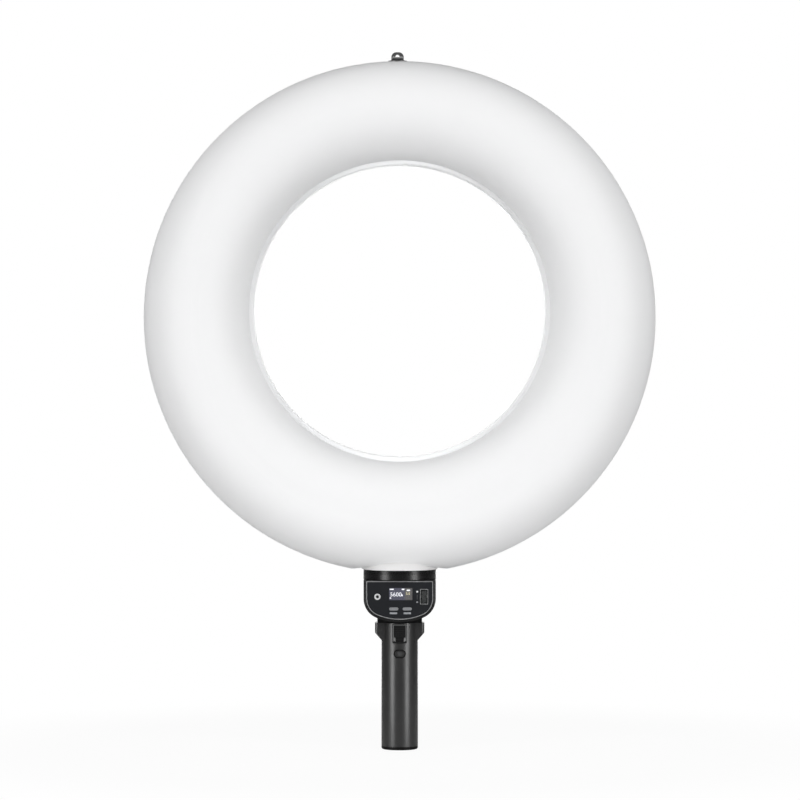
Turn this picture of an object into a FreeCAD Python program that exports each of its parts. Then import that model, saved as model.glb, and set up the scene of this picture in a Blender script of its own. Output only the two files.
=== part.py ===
import FreeCAD, Part
import math
import os
import re

import Sketcher

# LED ring light with a pull-off handle.
# Millimetres, +Z up, the lit side faces -Y. The origin is the mouth of the tripod thread,
# at the middle of the handle's foot. Every height is worked out from there upwards.

SIZES = {
    # ring
    "ring_radius": 240.0,
    "front_depth": 46.0,
    "depth_step": 2.0,
    "shell_wall": 2.4,
    "crest_width": 11.6,
    "hole_rise": 5.6,
    "lip_width": 4.6,
    "lip_reach": 8.0,
    "lip_bite": 0.8,
    "lip_round": 1.8,
    "ring_sink": 3.7,
    "seam_rib": 2.0,
    "seam_overlap": 3.0,
    "post_radius": 4.5,
    "post_count": 8,
    "post_floor": 3.0,
    # pan head screws
    "screw_head": 3.1,
    "screw_deep": 2.0,
    "screw_shank": 1.5,
    "small_head": 1.7,
    "small_deep": 1.2,
    "small_shank": 0.9,
    # light engine
    "tray_shift": 1.8,
    "tray_half": 22.0,
    "tray_wall": 2.0,
    "tray_rim": 5.0,
    "tray_back": 12.0,
    "board_thick": 1.6,
    "led_side": 3.0,
    "led_height": 0.8,
    "led_count": 48,
    "led_spread": 8.0,
    # neck
    "cuff_proud": 0.1,
    "cuff_flare": 3.6,
    "cuff_pinch": 4.6,
    "cuff_swell": 5.6,
    "cuff_wall": 2.4,
    "cuff_height": 24.0,
    "neck_gap": 0.4,
    "flare_high": 7.9,
    "flare_slope": 1.95,
    "saddle_height": 31.0,
    "saddle_reach": 6.6,
    "bracket_width": 32.0,
    "bracket_thick": 3.0,
    "bracket_past": 21.7,
    "bracket_clear": 7.8,
    "bracket_side": 10.0,
    "gusset_nose": 2.0,
    "gusset_clear": 2.0,
    "foot_side": 9.0,
    "foot_edge": 6.0,
    "collar_proud": 0.7,
    "collar_height": 9.2,
    "collar_top_wall": 3.0,
    "collar_side": 10.4,
    "collar_edge": 0.5,
    "collar_groove": 0.35,
    "groove_count": 3,
    "groove_pitch": 1.1,
    "groove_mouth": 0.5,
    "groove_floor": 0.2,
    "cable_hole": 10.0,
    # hanger
    "flange_radius": 9.25,
    "flange_thick": 0.8,
    "flange_slope": 0.65,
    "barrel_radius": 1.6,
    "barrel_width": 9.0,
    "bail_eye": 1.2,
    "bail_thick": 2.2,
    "bail_slit": 0.7,
    "bail_dome": 1.9,
    "bail_bend": 4.6,
    "bail_pin": 0.7,
    "bail_width": 11.6,
    "bail_height": 8.4,
    "hanger_shift": -2.0,
    "hanger_thread": 3.0,
    "hanger_room": 0.5,
    "hanger_block": 10.0,
    "hanger_grip": 6.0,
    "top_drop": 9.0,
    "top_side": 5.0,
    "top_foot": 4.0,
    # control housing
    "housing_half": 33.6,
    "housing_front": 30.0,
    "housing_height": 38.9,
    "housing_wall": 2.2,
    "edge_bend": 2.4,
    "lid_thick": 2.0,
    "lid_inset": 7.3,
    "lid_bite": 4.0,
    "corner_bend": 19.2,
    "floor_bend": 57.0,
    "panel_inset": 2.6,
    "panel_thick": 2.0,
    "panel_ledge": 1.6,
    "top_band": 0.7,
    "border_width": 0.65,
    "border_proud": 0.2,
    "border_sink": 0.8,
    # panel fittings, heights from the housing's top
    "screen_x": 1.0,
    "screen_drop": 12.6,
    "screen_width": 21.6,
    "screen_height": 11.3,
    "screen_bend": 0.4,
    "screen_thick": 2.6,
    "glass_sink": 0.1,
    "glass_thick": 1.1,
    "module_side": 0.8,
    "module_foot": 1.5,
    "power_inset": 12.9,
    "power_drop": 15.1,
    "power_ring_radius": 2.9,
    "power_cap_radius": 1.5,
    "power_sink": 0.1,
    "mode_left": -5.5,
    "mode_right": 7.1,
    "mode_drop": 26.4,
    "mode_width": 8.4,
    "mode_height": 2.8,
    "mode_flange": 0.7,
    "flange_plate": 0.8,
    "button_proud": 0.5,
    "button_stem": 1.7,
    "stem_radius": 1.2,
    "dial_inset": 10.9,
    "dial_drop": 15.0,
    "dial_radius": 9.0,
    "dial_grooves": 24,
    "groove_radius": 0.7,
    "groove_out": 0.25,
    "dial_width": 4.8,
    "dial_proud": 1.4,
    "dial_side": 0.7,
    "dial_axle": 1.5,
    "encoder_gap": 0.5,
    "encoder_case": 3.0,
    "encoder_half": 4.5,
    "cheek_thick": 1.8,
    "cheek_half": 4.0,
    "cheek_past": 3.0,
    "bezel_width": 8.3,
    "bezel_height": 15.0,
    "bezel_rim": 0.85,
    "bezel_bend": 1.3,
    "bezel_proud": 0.4,
    # electronics of the housing
    "control_back": 8.0,
    "control_inset": 11.6,
    "control_top": 5.4,
    "control_low": 29.4,
    "stand_high": 8.0,
    "stand_low": 27.0,
    "stand_margin": 2.8,
    "stand_left_low": 15.4,
    "stand_right": 14.6,
    "stand_radius": 1.8,
    "switch_side": 4.4,
    "switch_height": 3.5,
    "socket_level": 17.0,
    "socket_half": 4.6,
    "socket_high": 3.4,
    "socket_sink": 0.4,
    "socket_depth": 8.0,
    "socket_wall": 0.5,
    "socket_floor": 1.5,
    "socket_tongue": 0.7,
    "tongue_clear": 1.7,
    "driver_half": 20.0,
    "driver_front": 6.0,
    "coil_radius": 5.0,
    "coil_height": 6.0,
    "can_radius": 3.0,
    "can_height": 9.0,
    "leg_radius": 2.2,
    "leg_side": 13.0,
    "leg_front": 15.5,
    "leg_back": 24.0,
    # foot and handle
    "foot_gap": 1.5,
    "foot_half": 20.9,
    "foot_depth": 26.0,
    "foot_high": 12.0,
    "foot_seat": 5.4,
    "foot_tap": 0.8,
    "foot_screw_x": 16.5,
    "foot_screw_y": 8.5,
    "foot_screw_length": 6.0,
    "tongue_side": 7.6,
    "tongue_wall": 1.8,
    "tongue_rear": 7.5,
    "tongue_length": 15.3,
    "contact_pin": 0.8,
    "contact_deep": 2.5,
    "contact_pitch": 4.0,
    "contact_gap": 0.5,
    "bolt_throw": 2.2,
    "grip_radius": 17.1,
    "grip_wall": 1.8,
    "grip_length": 118.9,
    "grip_edge": 0.5,
    "wing_reach": 6.0,
    "wing_height": 17.3,
    "wing_straight": 9.4,
    "wing_depth": 19.0,
    "wing_root": 1.0,
    "wing_bend": 2.5,
    "base_height": 3.0,
    "base_bend": 1.7,
    "base_step": 0.3,
    "plug_height": 12.0,
    "thread_radius": 3.175,
    "thread_depth": 9.0,
    "thread_floor": 0.5,
    "insert_radius": 5.0,
    "cell_inset": 4.0,
    "core_foot": 3.1,
    "cell_tip": 4.0,
    "tip_height": 1.5,
    "spring_height": 5.0,
    "leaf_half": 6.0,
    "leaf_thick": 0.5,
    "leaf_width": 8.0,
    # lock
    "recess_half": 7.0,
    "recess_top": 0.9,
    "recess_height": 18.1,
    "recess_bend": 1.6,
    "frame_thick": 2.4,
    "frame_base": 0.7,
    "frame_gap": 0.6,
    "frame_drop": 0.6,
    "window_bend": 2.0,
    "window_run": 0.7,
    "slider_half": 5.2,
    "slider_height": 11.0,
    "slider_top": 1.5,
    "slider_bend": 0.8,
    "slider_proud": 0.4,
    "slider_travel": 3.6,
    "cover_side": 0.8,
    "cover_edge": 0.6,
    "cover_thick": 1.0,
    "rib_count": 5,
    "rib_start": 1.4,
    "rib_pitch": 1.7,
    "rib_width": 0.7,
    "rib_depth": 0.6,
    "cheek_low": 2.8,
    "cheek_high": 1.9,
    "cheek_wide": 1.6,
    "bolt_ratio": 0.625,
    "bolt_half": 2.8,
    "bolt_height": 4.4,
    "bolt_drop": 0.2,
    "bolt_tail": 1.3,
    "bolt_nose": 0.8,
    "pin_radius": 1.0,
    "pin_depth": 4.6,
    "lock_depth": 10.7,
    "oval_drop": 28.8,
    "oval_width": 9.7,
    "oval_height": 6.1,
    "oval_rim": 0.9,
    "oval_proud": 0.5,
    "oval_cap": 0.3,
    "oval_reach": 1.6,
    "oval_flange": 0.8,
    "board_half": 6.0,
    "board_rise": 5.0,
    "case_half": 3.0,
    "case_back": 3.6,
    # running and seating gaps, and how far a cutting tool reaches past a face
    "gap": 0.2,
    "seat_gap": 0.1,
    "run_gap": 0.06,
    "over": 1.0,
}

# Sizes that follow from the ones above, because what they belong to fits in or lines up there.
LINKS = {
    "rear_depth": "front_depth - depth_step",
    "hole_radius": "ring_radius - 2 * front_depth - crest_width",
    "post_circle": "(ring_radius + hole_radius) / 2 + tray_shift",
    "tray_inner": "post_circle - tray_half",
    "tray_outer": "post_circle + tray_half",
    "warm_circle": "post_circle - led_spread",
    "cool_circle": "post_circle + led_spread",
    "collar_radius": "housing_half + collar_proud",
    "lid_circle": "collar_radius - lid_inset",
    "cuff_foot": "collar_radius + cuff_proud",
    "cuff_half": "cuff_foot + cuff_flare",
    "cuff_depth": "cuff_foot - cuff_pinch",
    "bracket_reach": "tray_back + bracket_thick + cuff_depth - bracket_clear",
    "power_x": "power_inset - housing_half",
    "dial_x": "housing_half - dial_inset",
    "control_left": "housing_half - control_inset",
    "stand_left_high": "control_left - stand_margin",
    "wing_half": "grip_radius + wing_reach",
    "insert_front": "grip_radius - lock_depth",
    "tongue_front": "insert_front - tongue_wall",
    "tongue_half": "grip_radius - tongue_side",
    "tongue_back": "grip_radius - tongue_rear",
    "cell_radius": "grip_radius - cell_inset",
    "core_length": "oval_drop + board_rise + core_foot",
    "cell_length": "grip_length - core_length - plug_height - spring_height",
}

doc = FreeCAD.newDocument("RingLight")
sheet = doc.addObject("Spreadsheet::Sheet", "Sizes")
entries = dict(SIZES)
entries.update((word, f"={formula}") for word, formula in LINKS.items())
for row, (word, value) in enumerate(entries.items(), start=1):
    sheet.set(f"A{row}", word)
    sheet.set(f"B{row}", str(value))
    sheet.setAlias(f"B{row}", word)
doc.recompute()

WORDS = re.compile(r"\b(" + "|".join(entries) + r")\b")
kept = []


def cells(text):
    """Point each size's name in an expression at its cell."""
    return WORDS.sub(r"Sizes.\1", text)


def number(text):
    """Work out an expression on the sheet."""
    return float(sheet.evalExpression(cells(text)))


def bind(item, **formulas):
    """Tie properties to expressions; a dot in a property's name is written as two underscores."""
    for name, formula in formulas.items():
        item.setExpression(name.replace("__", "."), cells(formula))


def place(item, x="0", y="0", z="0"):
    """Put an item at a point given by three expressions."""
    bind(item, Placement__Base__x=x, Placement__Base__y=y, Placement__Base__z=z)


def keep(item, label):
    """Name a finished sub-part; the label is its file's name."""
    item.Label = label
    kept.append(item)
    return item


# Heights that many sub-parts share, as expressions.
HEAD_TOP = "grip_length"
FOOT_TOP = "(grip_length + foot_gap)"
HOUSING_TOP = "(grip_length + foot_gap + housing_height)"
COLLAR_TOP = "(grip_length + foot_gap + housing_height + collar_height)"
RING_CENTRE = f"({COLLAR_TOP} + ring_radius - ring_sink)"
HOLE_FACE = "(hole_radius + lip_width - lip_bite)"
PANEL_BACK = "(housing_front - panel_thick)"
BORE = "(grip_radius - grip_wall)"
BOLT_Z = "(grip_length - recess_top - recess_height / 2 - bolt_drop)"


def origin_part(body, role):
    """Find one plane or axis of a body's own origin."""
    return next(part for part in body.Origin.OriginFeatures if part.Role == role)


def arc_between(start, end, radius):
    """Make the arc from start to end: a positive radius turns left, a negative one right."""
    (x0, y0), (x1, y1) = start, end
    half = math.hypot(x1 - x0, y1 - y0) / 2
    rise = math.sqrt(max(radius * radius - half * half, 0.0))
    side = math.copysign(1.0, radius)
    cx = (x0 + x1) / 2 - side * rise * (y1 - y0) / (2 * half)
    cy = (y0 + y1) / 2 + side * rise * (x1 - x0) / (2 * half)
    circle = Part.Circle(FreeCAD.Vector(cx, cy, 0), FreeCAD.Vector(0, 0, 1), abs(radius))
    first = math.atan2(y0 - cy, x0 - cx)
    last = math.atan2(y1 - cy, x1 - cx)
    return Part.ArcOfCircle(circle, *((first, last) if radius > 0 else (last, first)))


def outline(owner, name, plane, corners, shift="0"):
    """Draw a closed outline whose corners are tied to the sheet.

    A corner is (x, y), or (x, y, radius) where an arc leads to it. The owner is a body, or the
    document for an outline that a Part feature uses.
    """
    if owner is doc:
        sketch = doc.addObject("Sketcher::SketchObject", name)
        turns = {"XY_Plane": (0, 0, 0), "XZ_Plane": (90, 0, 0), "YZ_Plane": (90, 0, 90)}
        roll, pitch, yaw = turns[plane]
        sketch.Placement = FreeCAD.Placement(FreeCAD.Vector(), FreeCAD.Rotation(yaw, pitch, roll))
    else:
        sketch = owner.newObject("Sketcher::SketchObject", name)
        sketch.AttachmentSupport = [(origin_part(owner, plane), "")]
        sketch.MapMode = "FlatFace"
        bind(sketch, AttachmentOffset__Base__z=shift)
    points = [(number(corner[0]), number(corner[1])) for corner in corners]
    bends = [corner[2] if len(corner) > 2 else None for corner in corners]
    count = len(corners)
    ends = []
    for i in range(count):
        j = (i + 1) % count
        if bends[j] is None:
            start, end = FreeCAD.Vector(*points[i], 0), FreeCAD.Vector(*points[j], 0)
            edge = sketch.addGeometry(Part.LineSegment(start, end))
            ends.append((edge, 1, 2))
        else:
            radius = number(bends[j])
            edge = sketch.addGeometry(arc_between(points[i], points[j], radius))
            ends.append((edge, 1, 2) if radius > 0 else (edge, 2, 1))
    for i in range(count):
        edge, start, end = ends[i]
        following, its_start, _ = ends[(i + 1) % count]
        sketch.addConstraint(Sketcher.Constraint("Coincident", edge, end, following, its_start))
    for i in range(count):
        edge, start, end = ends[i]
        for kind, axis in (("DistanceX", 0), ("DistanceY", 1)):
            rule = sketch.addConstraint(
                Sketcher.Constraint(kind, -1, 1, edge, start, points[i][axis])
            )
            title = f"{'across' if axis == 0 else 'along'}_{i}"
            sketch.renameConstraint(rule, title)
            bind(sketch, **{f"Constraints__{title}": corners[i][axis]})
        bend = bends[(i + 1) % count]
        if bend is not None:
            rule = sketch.addConstraint(Sketcher.Constraint("Radius", edge, abs(number(bend))))
            sketch.renameConstraint(rule, f"bend_{i}")
            bind(sketch, **{f"Constraints__bend_{i}": f"abs({bend})"})
    return sketch


def round_sketch(body, name, plane, x, y, radius, shift="0"):
    """Draw one circle with its centre and radius tied to the sheet."""
    sketch = body.newObject("Sketcher::SketchObject", name)
    sketch.AttachmentSupport = [(origin_part(body, plane), "")]
    sketch.MapMode = "FlatFace"
    bind(sketch, AttachmentOffset__Base__z=shift)
    centre = FreeCAD.Vector(number(x), number(y), 0)
    edge = sketch.addGeometry(Part.Circle(centre, FreeCAD.Vector(0, 0, 1), number(radius)))
    for kind, title, formula in (("DistanceX", "across", x), ("DistanceY", "along", y)):
        rule = sketch.addConstraint(Sketcher.Constraint(kind, -1, 1, edge, 3, number(formula)))
        sketch.renameConstraint(rule, title)
        bind(sketch, **{f"Constraints__{title}": formula})
    rule = sketch.addConstraint(Sketcher.Constraint("Radius", edge, number(radius)))
    sketch.renameConstraint(rule, "size")
    bind(sketch, Constraints__size=radius)
    return sketch


def turned(body, kind, sketch, axis):
    """Add a full Revolution or Groove about an axis of the body or of the sketch itself."""
    feature = body.newObject(f"PartDesign::{kind}", f"{body.Name}{kind}")
    feature.Profile = sketch
    own = axis == "V_Axis"
    feature.ReferenceAxis = (sketch, [axis]) if own else (origin_part(body, axis), [""])
    feature.Angle = 360
    return feature


def pulled(body, kind, sketch, length, backwards=False, both=False):
    """Add a Pad or Pocket of a bound length."""
    feature = body.newObject(f"PartDesign::{kind}", f"{body.Name}{kind}")
    feature.Profile = sketch
    feature.Reversed = backwards
    feature.Midplane = both
    bind(feature, Length=length)
    return feature


def around(body, name, steps):
    """Repeat steps round the ring's axis, once for each post."""
    ring = body.newObject("PartDesign::PolarPattern", name)
    ring.Originals = steps
    ring.Axis = (origin_part(body, "Y_Axis"), [""])
    ring.Angle = 360
    bind(ring, Occurrences="post_count")
    body.Tip = ring
    return ring


def new_body(name):
    """Start a PartDesign body."""
    return doc.addObject("PartDesign::Body", name)


def block(name, low, high):
    """Make a box between two corners, each three expressions."""
    item = doc.addObject("Part::Box", name)
    place(item, *low)
    for side, bottom, top in zip(("Length", "Width", "Height"), low, high):
        bind(item, **{side: f"({top}) - ({bottom})"})
    return item


TURNS = {
    "X": FreeCAD.Rotation(FreeCAD.Vector(0, 1, 0), 90),
    "Y": FreeCAD.Rotation(FreeCAD.Vector(1, 0, 0), -90),
    "Z": FreeCAD.Rotation(),
}


def rod(name, foot, radius, length, axis="Z"):
    """Make a cylinder from its foot along +X, +Y or +Z."""
    item = doc.addObject("Part::Cylinder", name)
    item.Placement = FreeCAD.Placement(FreeCAD.Vector(), TURNS[axis])
    place(item, *foot)
    bind(item, Radius=radius, Height=length)
    return item


def less(name, base, *tools):
    """Cut tools from a base."""
    for step, tool in enumerate(tools):
        cut = doc.addObject("Part::Cut", f"{name}{step}")
        cut.Base = base
        cut.Tool = tool
        base = cut
    return base


def joined(name, *items):
    """Fuse items to one solid."""
    item = doc.addObject("Part::MultiFuse", name)
    item.Shapes = list(items)
    item.Refine = True
    return item


def shared(name, first, second):
    """Keep what two items have in common."""
    item = doc.addObject("Part::Common", name)
    item.Base = first
    item.Tool = second
    return item


def oval(name, across, deep, z):
    """Make an ellipse square to the handle's axis, wider across than it is deep."""
    item = doc.addObject("Part::Ellipse", name)
    place(item, z=z)
    bind(item, MajorRadius=across, MinorRadius=deep)
    return item


def lofted(name, *sections, straight=False):
    """Make a solid that runs through closed sections, from the lowest up."""
    item = doc.addObject("Part::Loft", name)
    item.Sections = list(sections)
    item.Solid = True
    item.Ruled = straight
    return item


def oval_bar(name, across, deep, low, high):
    """Make an upright bar with an elliptical section between two heights."""
    return lofted(name, oval(f"{name}Low", across, deep, low),
                  oval(f"{name}High", across, deep, high), straight=True)


def drawn_out(name, sketch, length):
    """Extrude a document sketch both ways by half a bound length."""
    item = doc.addObject("Part::Extrusion", name)
    item.Base = sketch
    item.DirMode = "Normal"
    item.Solid = True
    item.Symmetric = True
    bind(item, LengthFwd=length)
    return item


def feature(name, shape, x="0", y="0", z="0"):
    """Hold a shape made from the sheet's values, placed after it is set."""
    item = doc.addObject("Part::Feature", name)
    item.Shape = shape
    place(item, x, y, z)
    return item


# Ring


def half_ring(name, depth, sign):
    """Make one hollow half tube of the ring, in its own frame about the ring's centre.

    The outer edge turns about the ring's axis and the hole's edge about an axis a little higher,
    so the tube is thinner at the top, and a narrow flat joins the two bends.
    """
    body = new_body(name)
    face = f"{sign} * {depth}"
    pillow = outline(body, f"{name}Pillow", "XY_Plane", [
        ("0", "0"),
        ("0", face),
        (f"ring_radius - {depth}", face),
        ("ring_radius", "0", f"{-sign} * {depth}"),
    ])
    disc = turned(body, "Revolution", pillow, "Y_Axis")
    funnel = outline(body, f"{name}Funnel", "XY_Plane", [
        ("0", f"{-sign}"),
        ("0", f"{face} + {sign}"),
        (f"{HOLE_FACE} + {depth}", f"{face} + {sign}"),
        (f"{HOLE_FACE} + {depth}", face),
        (HOLE_FACE, "0", f"{sign} * {depth}"),
        (HOLE_FACE, f"{-sign}"),
    ], shift="hole_rise")
    hole = turned(body, "Groove", funnel, "V_Axis")
    doc.recompute()
    seam = [
        f"Face{index}"
        for index, side in enumerate(hole.Shape.Faces, start=1)
        if side.Surface.TypeId == "Part::GeomPlane" and abs(side.CenterOfMass.y) < 0.01
    ]
    wall = body.newObject("PartDesign::Thickness", f"{name}Wall")
    wall.Base = (hole, seam)
    wall.Reversed = True
    bind(wall, Value="shell_wall")
    seat = outline(body, f"{name}Seat", "XY_Plane", [
        ("hole_radius", f"{-sign}"),
        ("hole_radius + lip_width + seat_gap", f"{-sign}"),
        ("hole_radius + lip_width + seat_gap", f"{sign} * (lip_reach + over)"),
        ("hole_radius", f"{sign} * (lip_reach + over)"),
    ], shift="hole_rise")
    turned(body, "Groove", seat, "V_Axis")
    return body


def neck_way():
    """Solid that clears the way for the neck: an oval bar whose foot flares out sideways."""
    bottom = f"({RING_CENTRE} - ring_radius)"
    across, deep = "cuff_half + neck_gap", "cuff_depth + neck_gap"
    flare = lofted("NeckFlare",
                   oval("FlareLow", f"{across} + flare_slope * (flare_high + over)", deep,
                        f"{bottom} - over"),
                   oval("FlareHigh", across, deep, f"{bottom} + flare_high"), straight=True)
    bar = oval_bar("NeckBar", across, deep, f"{bottom} + flare_high",
                   f"{bottom} + saddle_height + over")
    return joined("NeckWay", flare, bar)


NECK_WAY = neck_way()


def open_ring(body):
    """Cut the openings for the hanger's thread and for the neck, and set the ring in place."""
    top = round_sketch(body, f"{body.Name}Top", "XY_Plane", "hanger_shift", "0",
                       "hanger_thread + hanger_room", shift="ring_radius + over")
    pulled(body, "Pocket", top, "top_drop")
    place(body, z=RING_CENTRE)
    return less(f"{body.Name}Open", body, NECK_WAY)


def front_diffuser():
    """Opal half tube that glows."""
    body = half_ring("FrontDiffuser", "front_depth", -1)
    return keep(open_ring(body), "front_diffuser")


def rear_shell():
    """White half tube at the back, with a rib that centres the diffuser and the screw posts."""
    body = half_ring("RearShell", "rear_depth", 1)
    rib = outline(body, "SeamRib", "XY_Plane", [
        ("ring_radius - shell_wall - seam_rib", "-seam_overlap"),
        ("ring_radius - shell_wall - gap", "-seam_overlap"),
        ("ring_radius - shell_wall - gap", "0"),
        ("ring_radius - shell_wall / 2", "0"),
        ("ring_radius - shell_wall / 2", "seam_overlap"),
        ("ring_radius - shell_wall - seam_rib", "seam_overlap"),
    ])
    turned(body, "Revolution", rib, "Y_Axis")
    spot = ("post_circle * sin(180 / post_count)", "post_circle * cos(180 / post_count)")
    post = round_sketch(body, "Post", "XZ_Plane", *spot, "post_radius",
                        shift="-(rear_depth - shell_wall / 2)")
    pad = pulled(body, "Pad", post, "rear_depth - shell_wall / 2 - tray_back")
    sink = round_sketch(body, "Sink", "XZ_Plane", *spot, "screw_head + gap",
                        shift="-(rear_depth + over)")
    wide = pulled(body, "Pocket", sink, "rear_depth + over - tray_back - post_floor",
                  backwards=True)
    hole = round_sketch(body, "ScrewHole", "XZ_Plane", *spot, "screw_shank + gap",
                        shift="-(rear_depth + over)")
    narrow = pulled(body, "Pocket", hole, "rear_depth + over - tray_back + over", backwards=True)
    around(body, "PostPattern", [pad, wide, narrow])
    return keep(open_ring(body), "rear_shell")


def inner_trim_ring():
    """Lip round the hole that covers the seam of the two shells."""
    body = new_body("InnerTrim")
    section = outline(body, "TrimSection", "XY_Plane", [
        ("hole_radius + lip_width", "-lip_reach"),
        ("hole_radius + lip_width", "lip_reach"),
        ("hole_radius + lip_round", "lip_reach"),
        ("hole_radius", "lip_reach - lip_round", "lip_round"),
        ("hole_radius", "lip_round - lip_reach"),
        ("hole_radius + lip_round", "-lip_reach", "lip_round"),
    ], shift="hole_rise")
    turned(body, "Revolution", section, "V_Axis")
    place(body, z=RING_CENTRE)
    return keep(body, "inner_trim_ring")


def carrier_tray():
    """Aluminium ring with two rims that holds the LED board."""
    body = new_body("CarrierTray")
    section = outline(body, "TraySection", "XY_Plane", [
        ("tray_inner", "tray_back"),
        ("tray_inner", "tray_back - tray_wall - tray_rim"),
        ("tray_inner + tray_wall", "tray_back - tray_wall - tray_rim"),
        ("tray_inner + tray_wall", "tray_back - tray_wall"),
        ("tray_outer - tray_wall", "tray_back - tray_wall"),
        ("tray_outer - tray_wall", "tray_back - tray_wall - tray_rim"),
        ("tray_outer", "tray_back - tray_wall - tray_rim"),
        ("tray_outer", "tray_back"),
    ])
    turned(body, "Revolution", section, "Y_Axis")
    spot = ("post_circle * sin(180 / post_count)", "post_circle * cos(180 / post_count)")
    hole = round_sketch(body, "TrayHole", "XZ_Plane", *spot, "screw_shank + seat_gap",
                        shift="-(tray_back + over)")
    cut = pulled(body, "Pocket", hole, "tray_wall + 2 * over", backwards=True)
    around(body, "TrayPattern", [cut])
    fixings = [("bracket_side", "-post_circle"), ("-bracket_side", "-post_circle")]
    fixings += [(f"hanger_shift {side} top_side", "post_circle") for side in "+-"]
    for index, (x, z) in enumerate(fixings):
        hole = round_sketch(body, f"FixingHole{index}", "XZ_Plane", x, z,
                            "screw_shank + seat_gap", shift="-(tray_back + over)")
        pulled(body, "Pocket", hole, "tray_wall + 2 * over", backwards=True)
    place(body, z=RING_CENTRE)
    return keep(body, "carrier_tray")


def led_board():
    """Ring board that lies in the tray."""
    body = new_body("LedBoard")
    section = outline(body, "BoardSection", "XY_Plane", [
        ("tray_inner + tray_wall + gap", "tray_back - tray_wall"),
        ("tray_inner + tray_wall + gap", "tray_back - tray_wall - board_thick"),
        ("tray_outer - tray_wall - gap", "tray_back - tray_wall - board_thick"),
        ("tray_outer - tray_wall - gap", "tray_back - tray_wall"),
    ])
    turned(body, "Revolution", section, "Y_Axis")
    spot = ("post_circle * sin(180 / post_count)", "post_circle * cos(180 / post_count)")
    hole = round_sketch(body, "BoardHole", "XZ_Plane", *spot, "screw_shank + 2 * gap",
                        shift="-(tray_back + over)")
    cut = pulled(body, "Pocket", hole, "tray_wall + board_thick + 2 * over", backwards=True)
    around(body, "BoardPattern", [cut])
    place(body, z=RING_CENTRE)
    return keep(body, "led_board")


def led_row(name, label, circle):
    """One circle of LED chips on the board's face."""
    side = number("led_side")
    height = number("led_height")
    face = number("tray_back - tray_wall - board_thick")
    count = int(number("led_count"))
    chips = []
    for index in range(count):
        corner = FreeCAD.Vector(-side / 2, face - height, number(circle) - side / 2)
        chip = Part.makeBox(side, height, side, corner)
        chip.rotate(FreeCAD.Vector(), FreeCAD.Vector(0, 1, 0), (index + 0.5) * 360 / count)
        chips.append(chip)
    return keep(feature(name, Part.makeCompound(chips), z=RING_CENTRE), label)


def screw_shape(head_radius, head_height, shank_radius, length):
    """One pan head screw along +Z, with its head's underside at the origin."""
    head = Part.makeCylinder(head_radius, head_height, FreeCAD.Vector(0, 0, -head_height))
    head = head.makeChamfer(head_height / 4, [head.Edges[-1]])
    drive = Part.makeCylinder(head_radius * 0.4, head_height / 2,
                              FreeCAD.Vector(0, 0, -head_height))
    return head.fuse(Part.makeCylinder(shank_radius, length)).cut(drive).removeSplitter()


def screws(name, label, spots, axis, length, kind="screw"):
    """A set of equal screws, driven along one direction; the kind is screw or small."""
    turn = FreeCAD.Rotation(FreeCAD.Vector(0, 0, 1), axis)
    shape = screw_shape(number(f"{kind}_head"), number(f"{kind}_deep"), number(f"{kind}_shank"),
                        length)
    copies = []
    for spot in spots:
        copy = shape.copy()
        copy.Placement = FreeCAD.Placement(FreeCAD.Vector(*spot), turn)
        copies.append(copy)
    return keep(feature(name, Part.makeCompound(copies)), label)


def shell_screws():
    """Screws that hold the rear shell's posts on the tray."""
    count = int(number("post_count"))
    radius = number("post_circle")
    height = number(RING_CENTRE)
    spots = []
    for index in range(count):
        angle = math.radians((index + 0.5) * 360 / count)
        spots.append((
            radius * math.sin(angle),
            number("tray_back + post_floor"),
            height + radius * math.cos(angle),
        ))
    return screws("ShellScrews", "shell_screws", spots, FreeCAD.Vector(0, -1, 0),
                  number("post_floor + tray_wall + board_thick / 2"))


# Neck

BRACKET_TOP = f"({RING_CENTRE} - post_circle)"
FOOT_SCREW = "(tray_back + bracket_thick - bracket_reach + foot_edge)"
LID_SPOT = "(lid_circle * sqrt(0.5))"
LID_SCREWS = [
    (f"{side}{LID_SPOT}", f"{way}{LID_SPOT}") for side in ("", "-") for way in ("", "-")
]


def pillow(name, inset):
    """The ring's outer form without its hole, taken in all over by an inset."""
    body = new_body(name)
    section = outline(body, f"{name}Section", "XY_Plane", [
        ("0", f"-(front_depth - {inset})"),
        ("ring_radius - front_depth", f"-(front_depth - {inset})"),
        (f"ring_radius - {inset}", "0", f"front_depth - {inset}"),
        ("ring_radius - rear_depth", f"rear_depth - {inset}", f"rear_depth - {inset}"),
        ("0", f"rear_depth - {inset}"),
    ])
    turned(body, "Revolution", section, "Y_Axis")
    place(body, z=RING_CENTRE)
    return body


def sleeve_form(name, inset):
    """The sleeve's form, taken in by an inset: round at the collar and oval inside the ring."""
    swell = [
        oval(f"{name}Foot", f"cuff_foot - {inset}", f"cuff_foot - {inset}", COLLAR_TOP),
        oval(f"{name}Swell", f"(cuff_foot + 3 * cuff_half) / 4 - {inset}",
             f"(cuff_foot + 3 * cuff_depth) / 4 - {inset}", f"{COLLAR_TOP} + cuff_swell / 2"),
        oval(f"{name}Shoulder", f"cuff_half - {inset}", f"cuff_depth - {inset}",
             f"{COLLAR_TOP} + cuff_swell"),
    ]
    straight = oval_bar(f"{name}Straight", f"cuff_half - {inset}", f"cuff_depth - {inset}",
                        f"{COLLAR_TOP} + cuff_swell", f"{COLLAR_TOP} + cuff_height")
    return joined(name, lofted(f"{name}Loft", *swell), straight)


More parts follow.
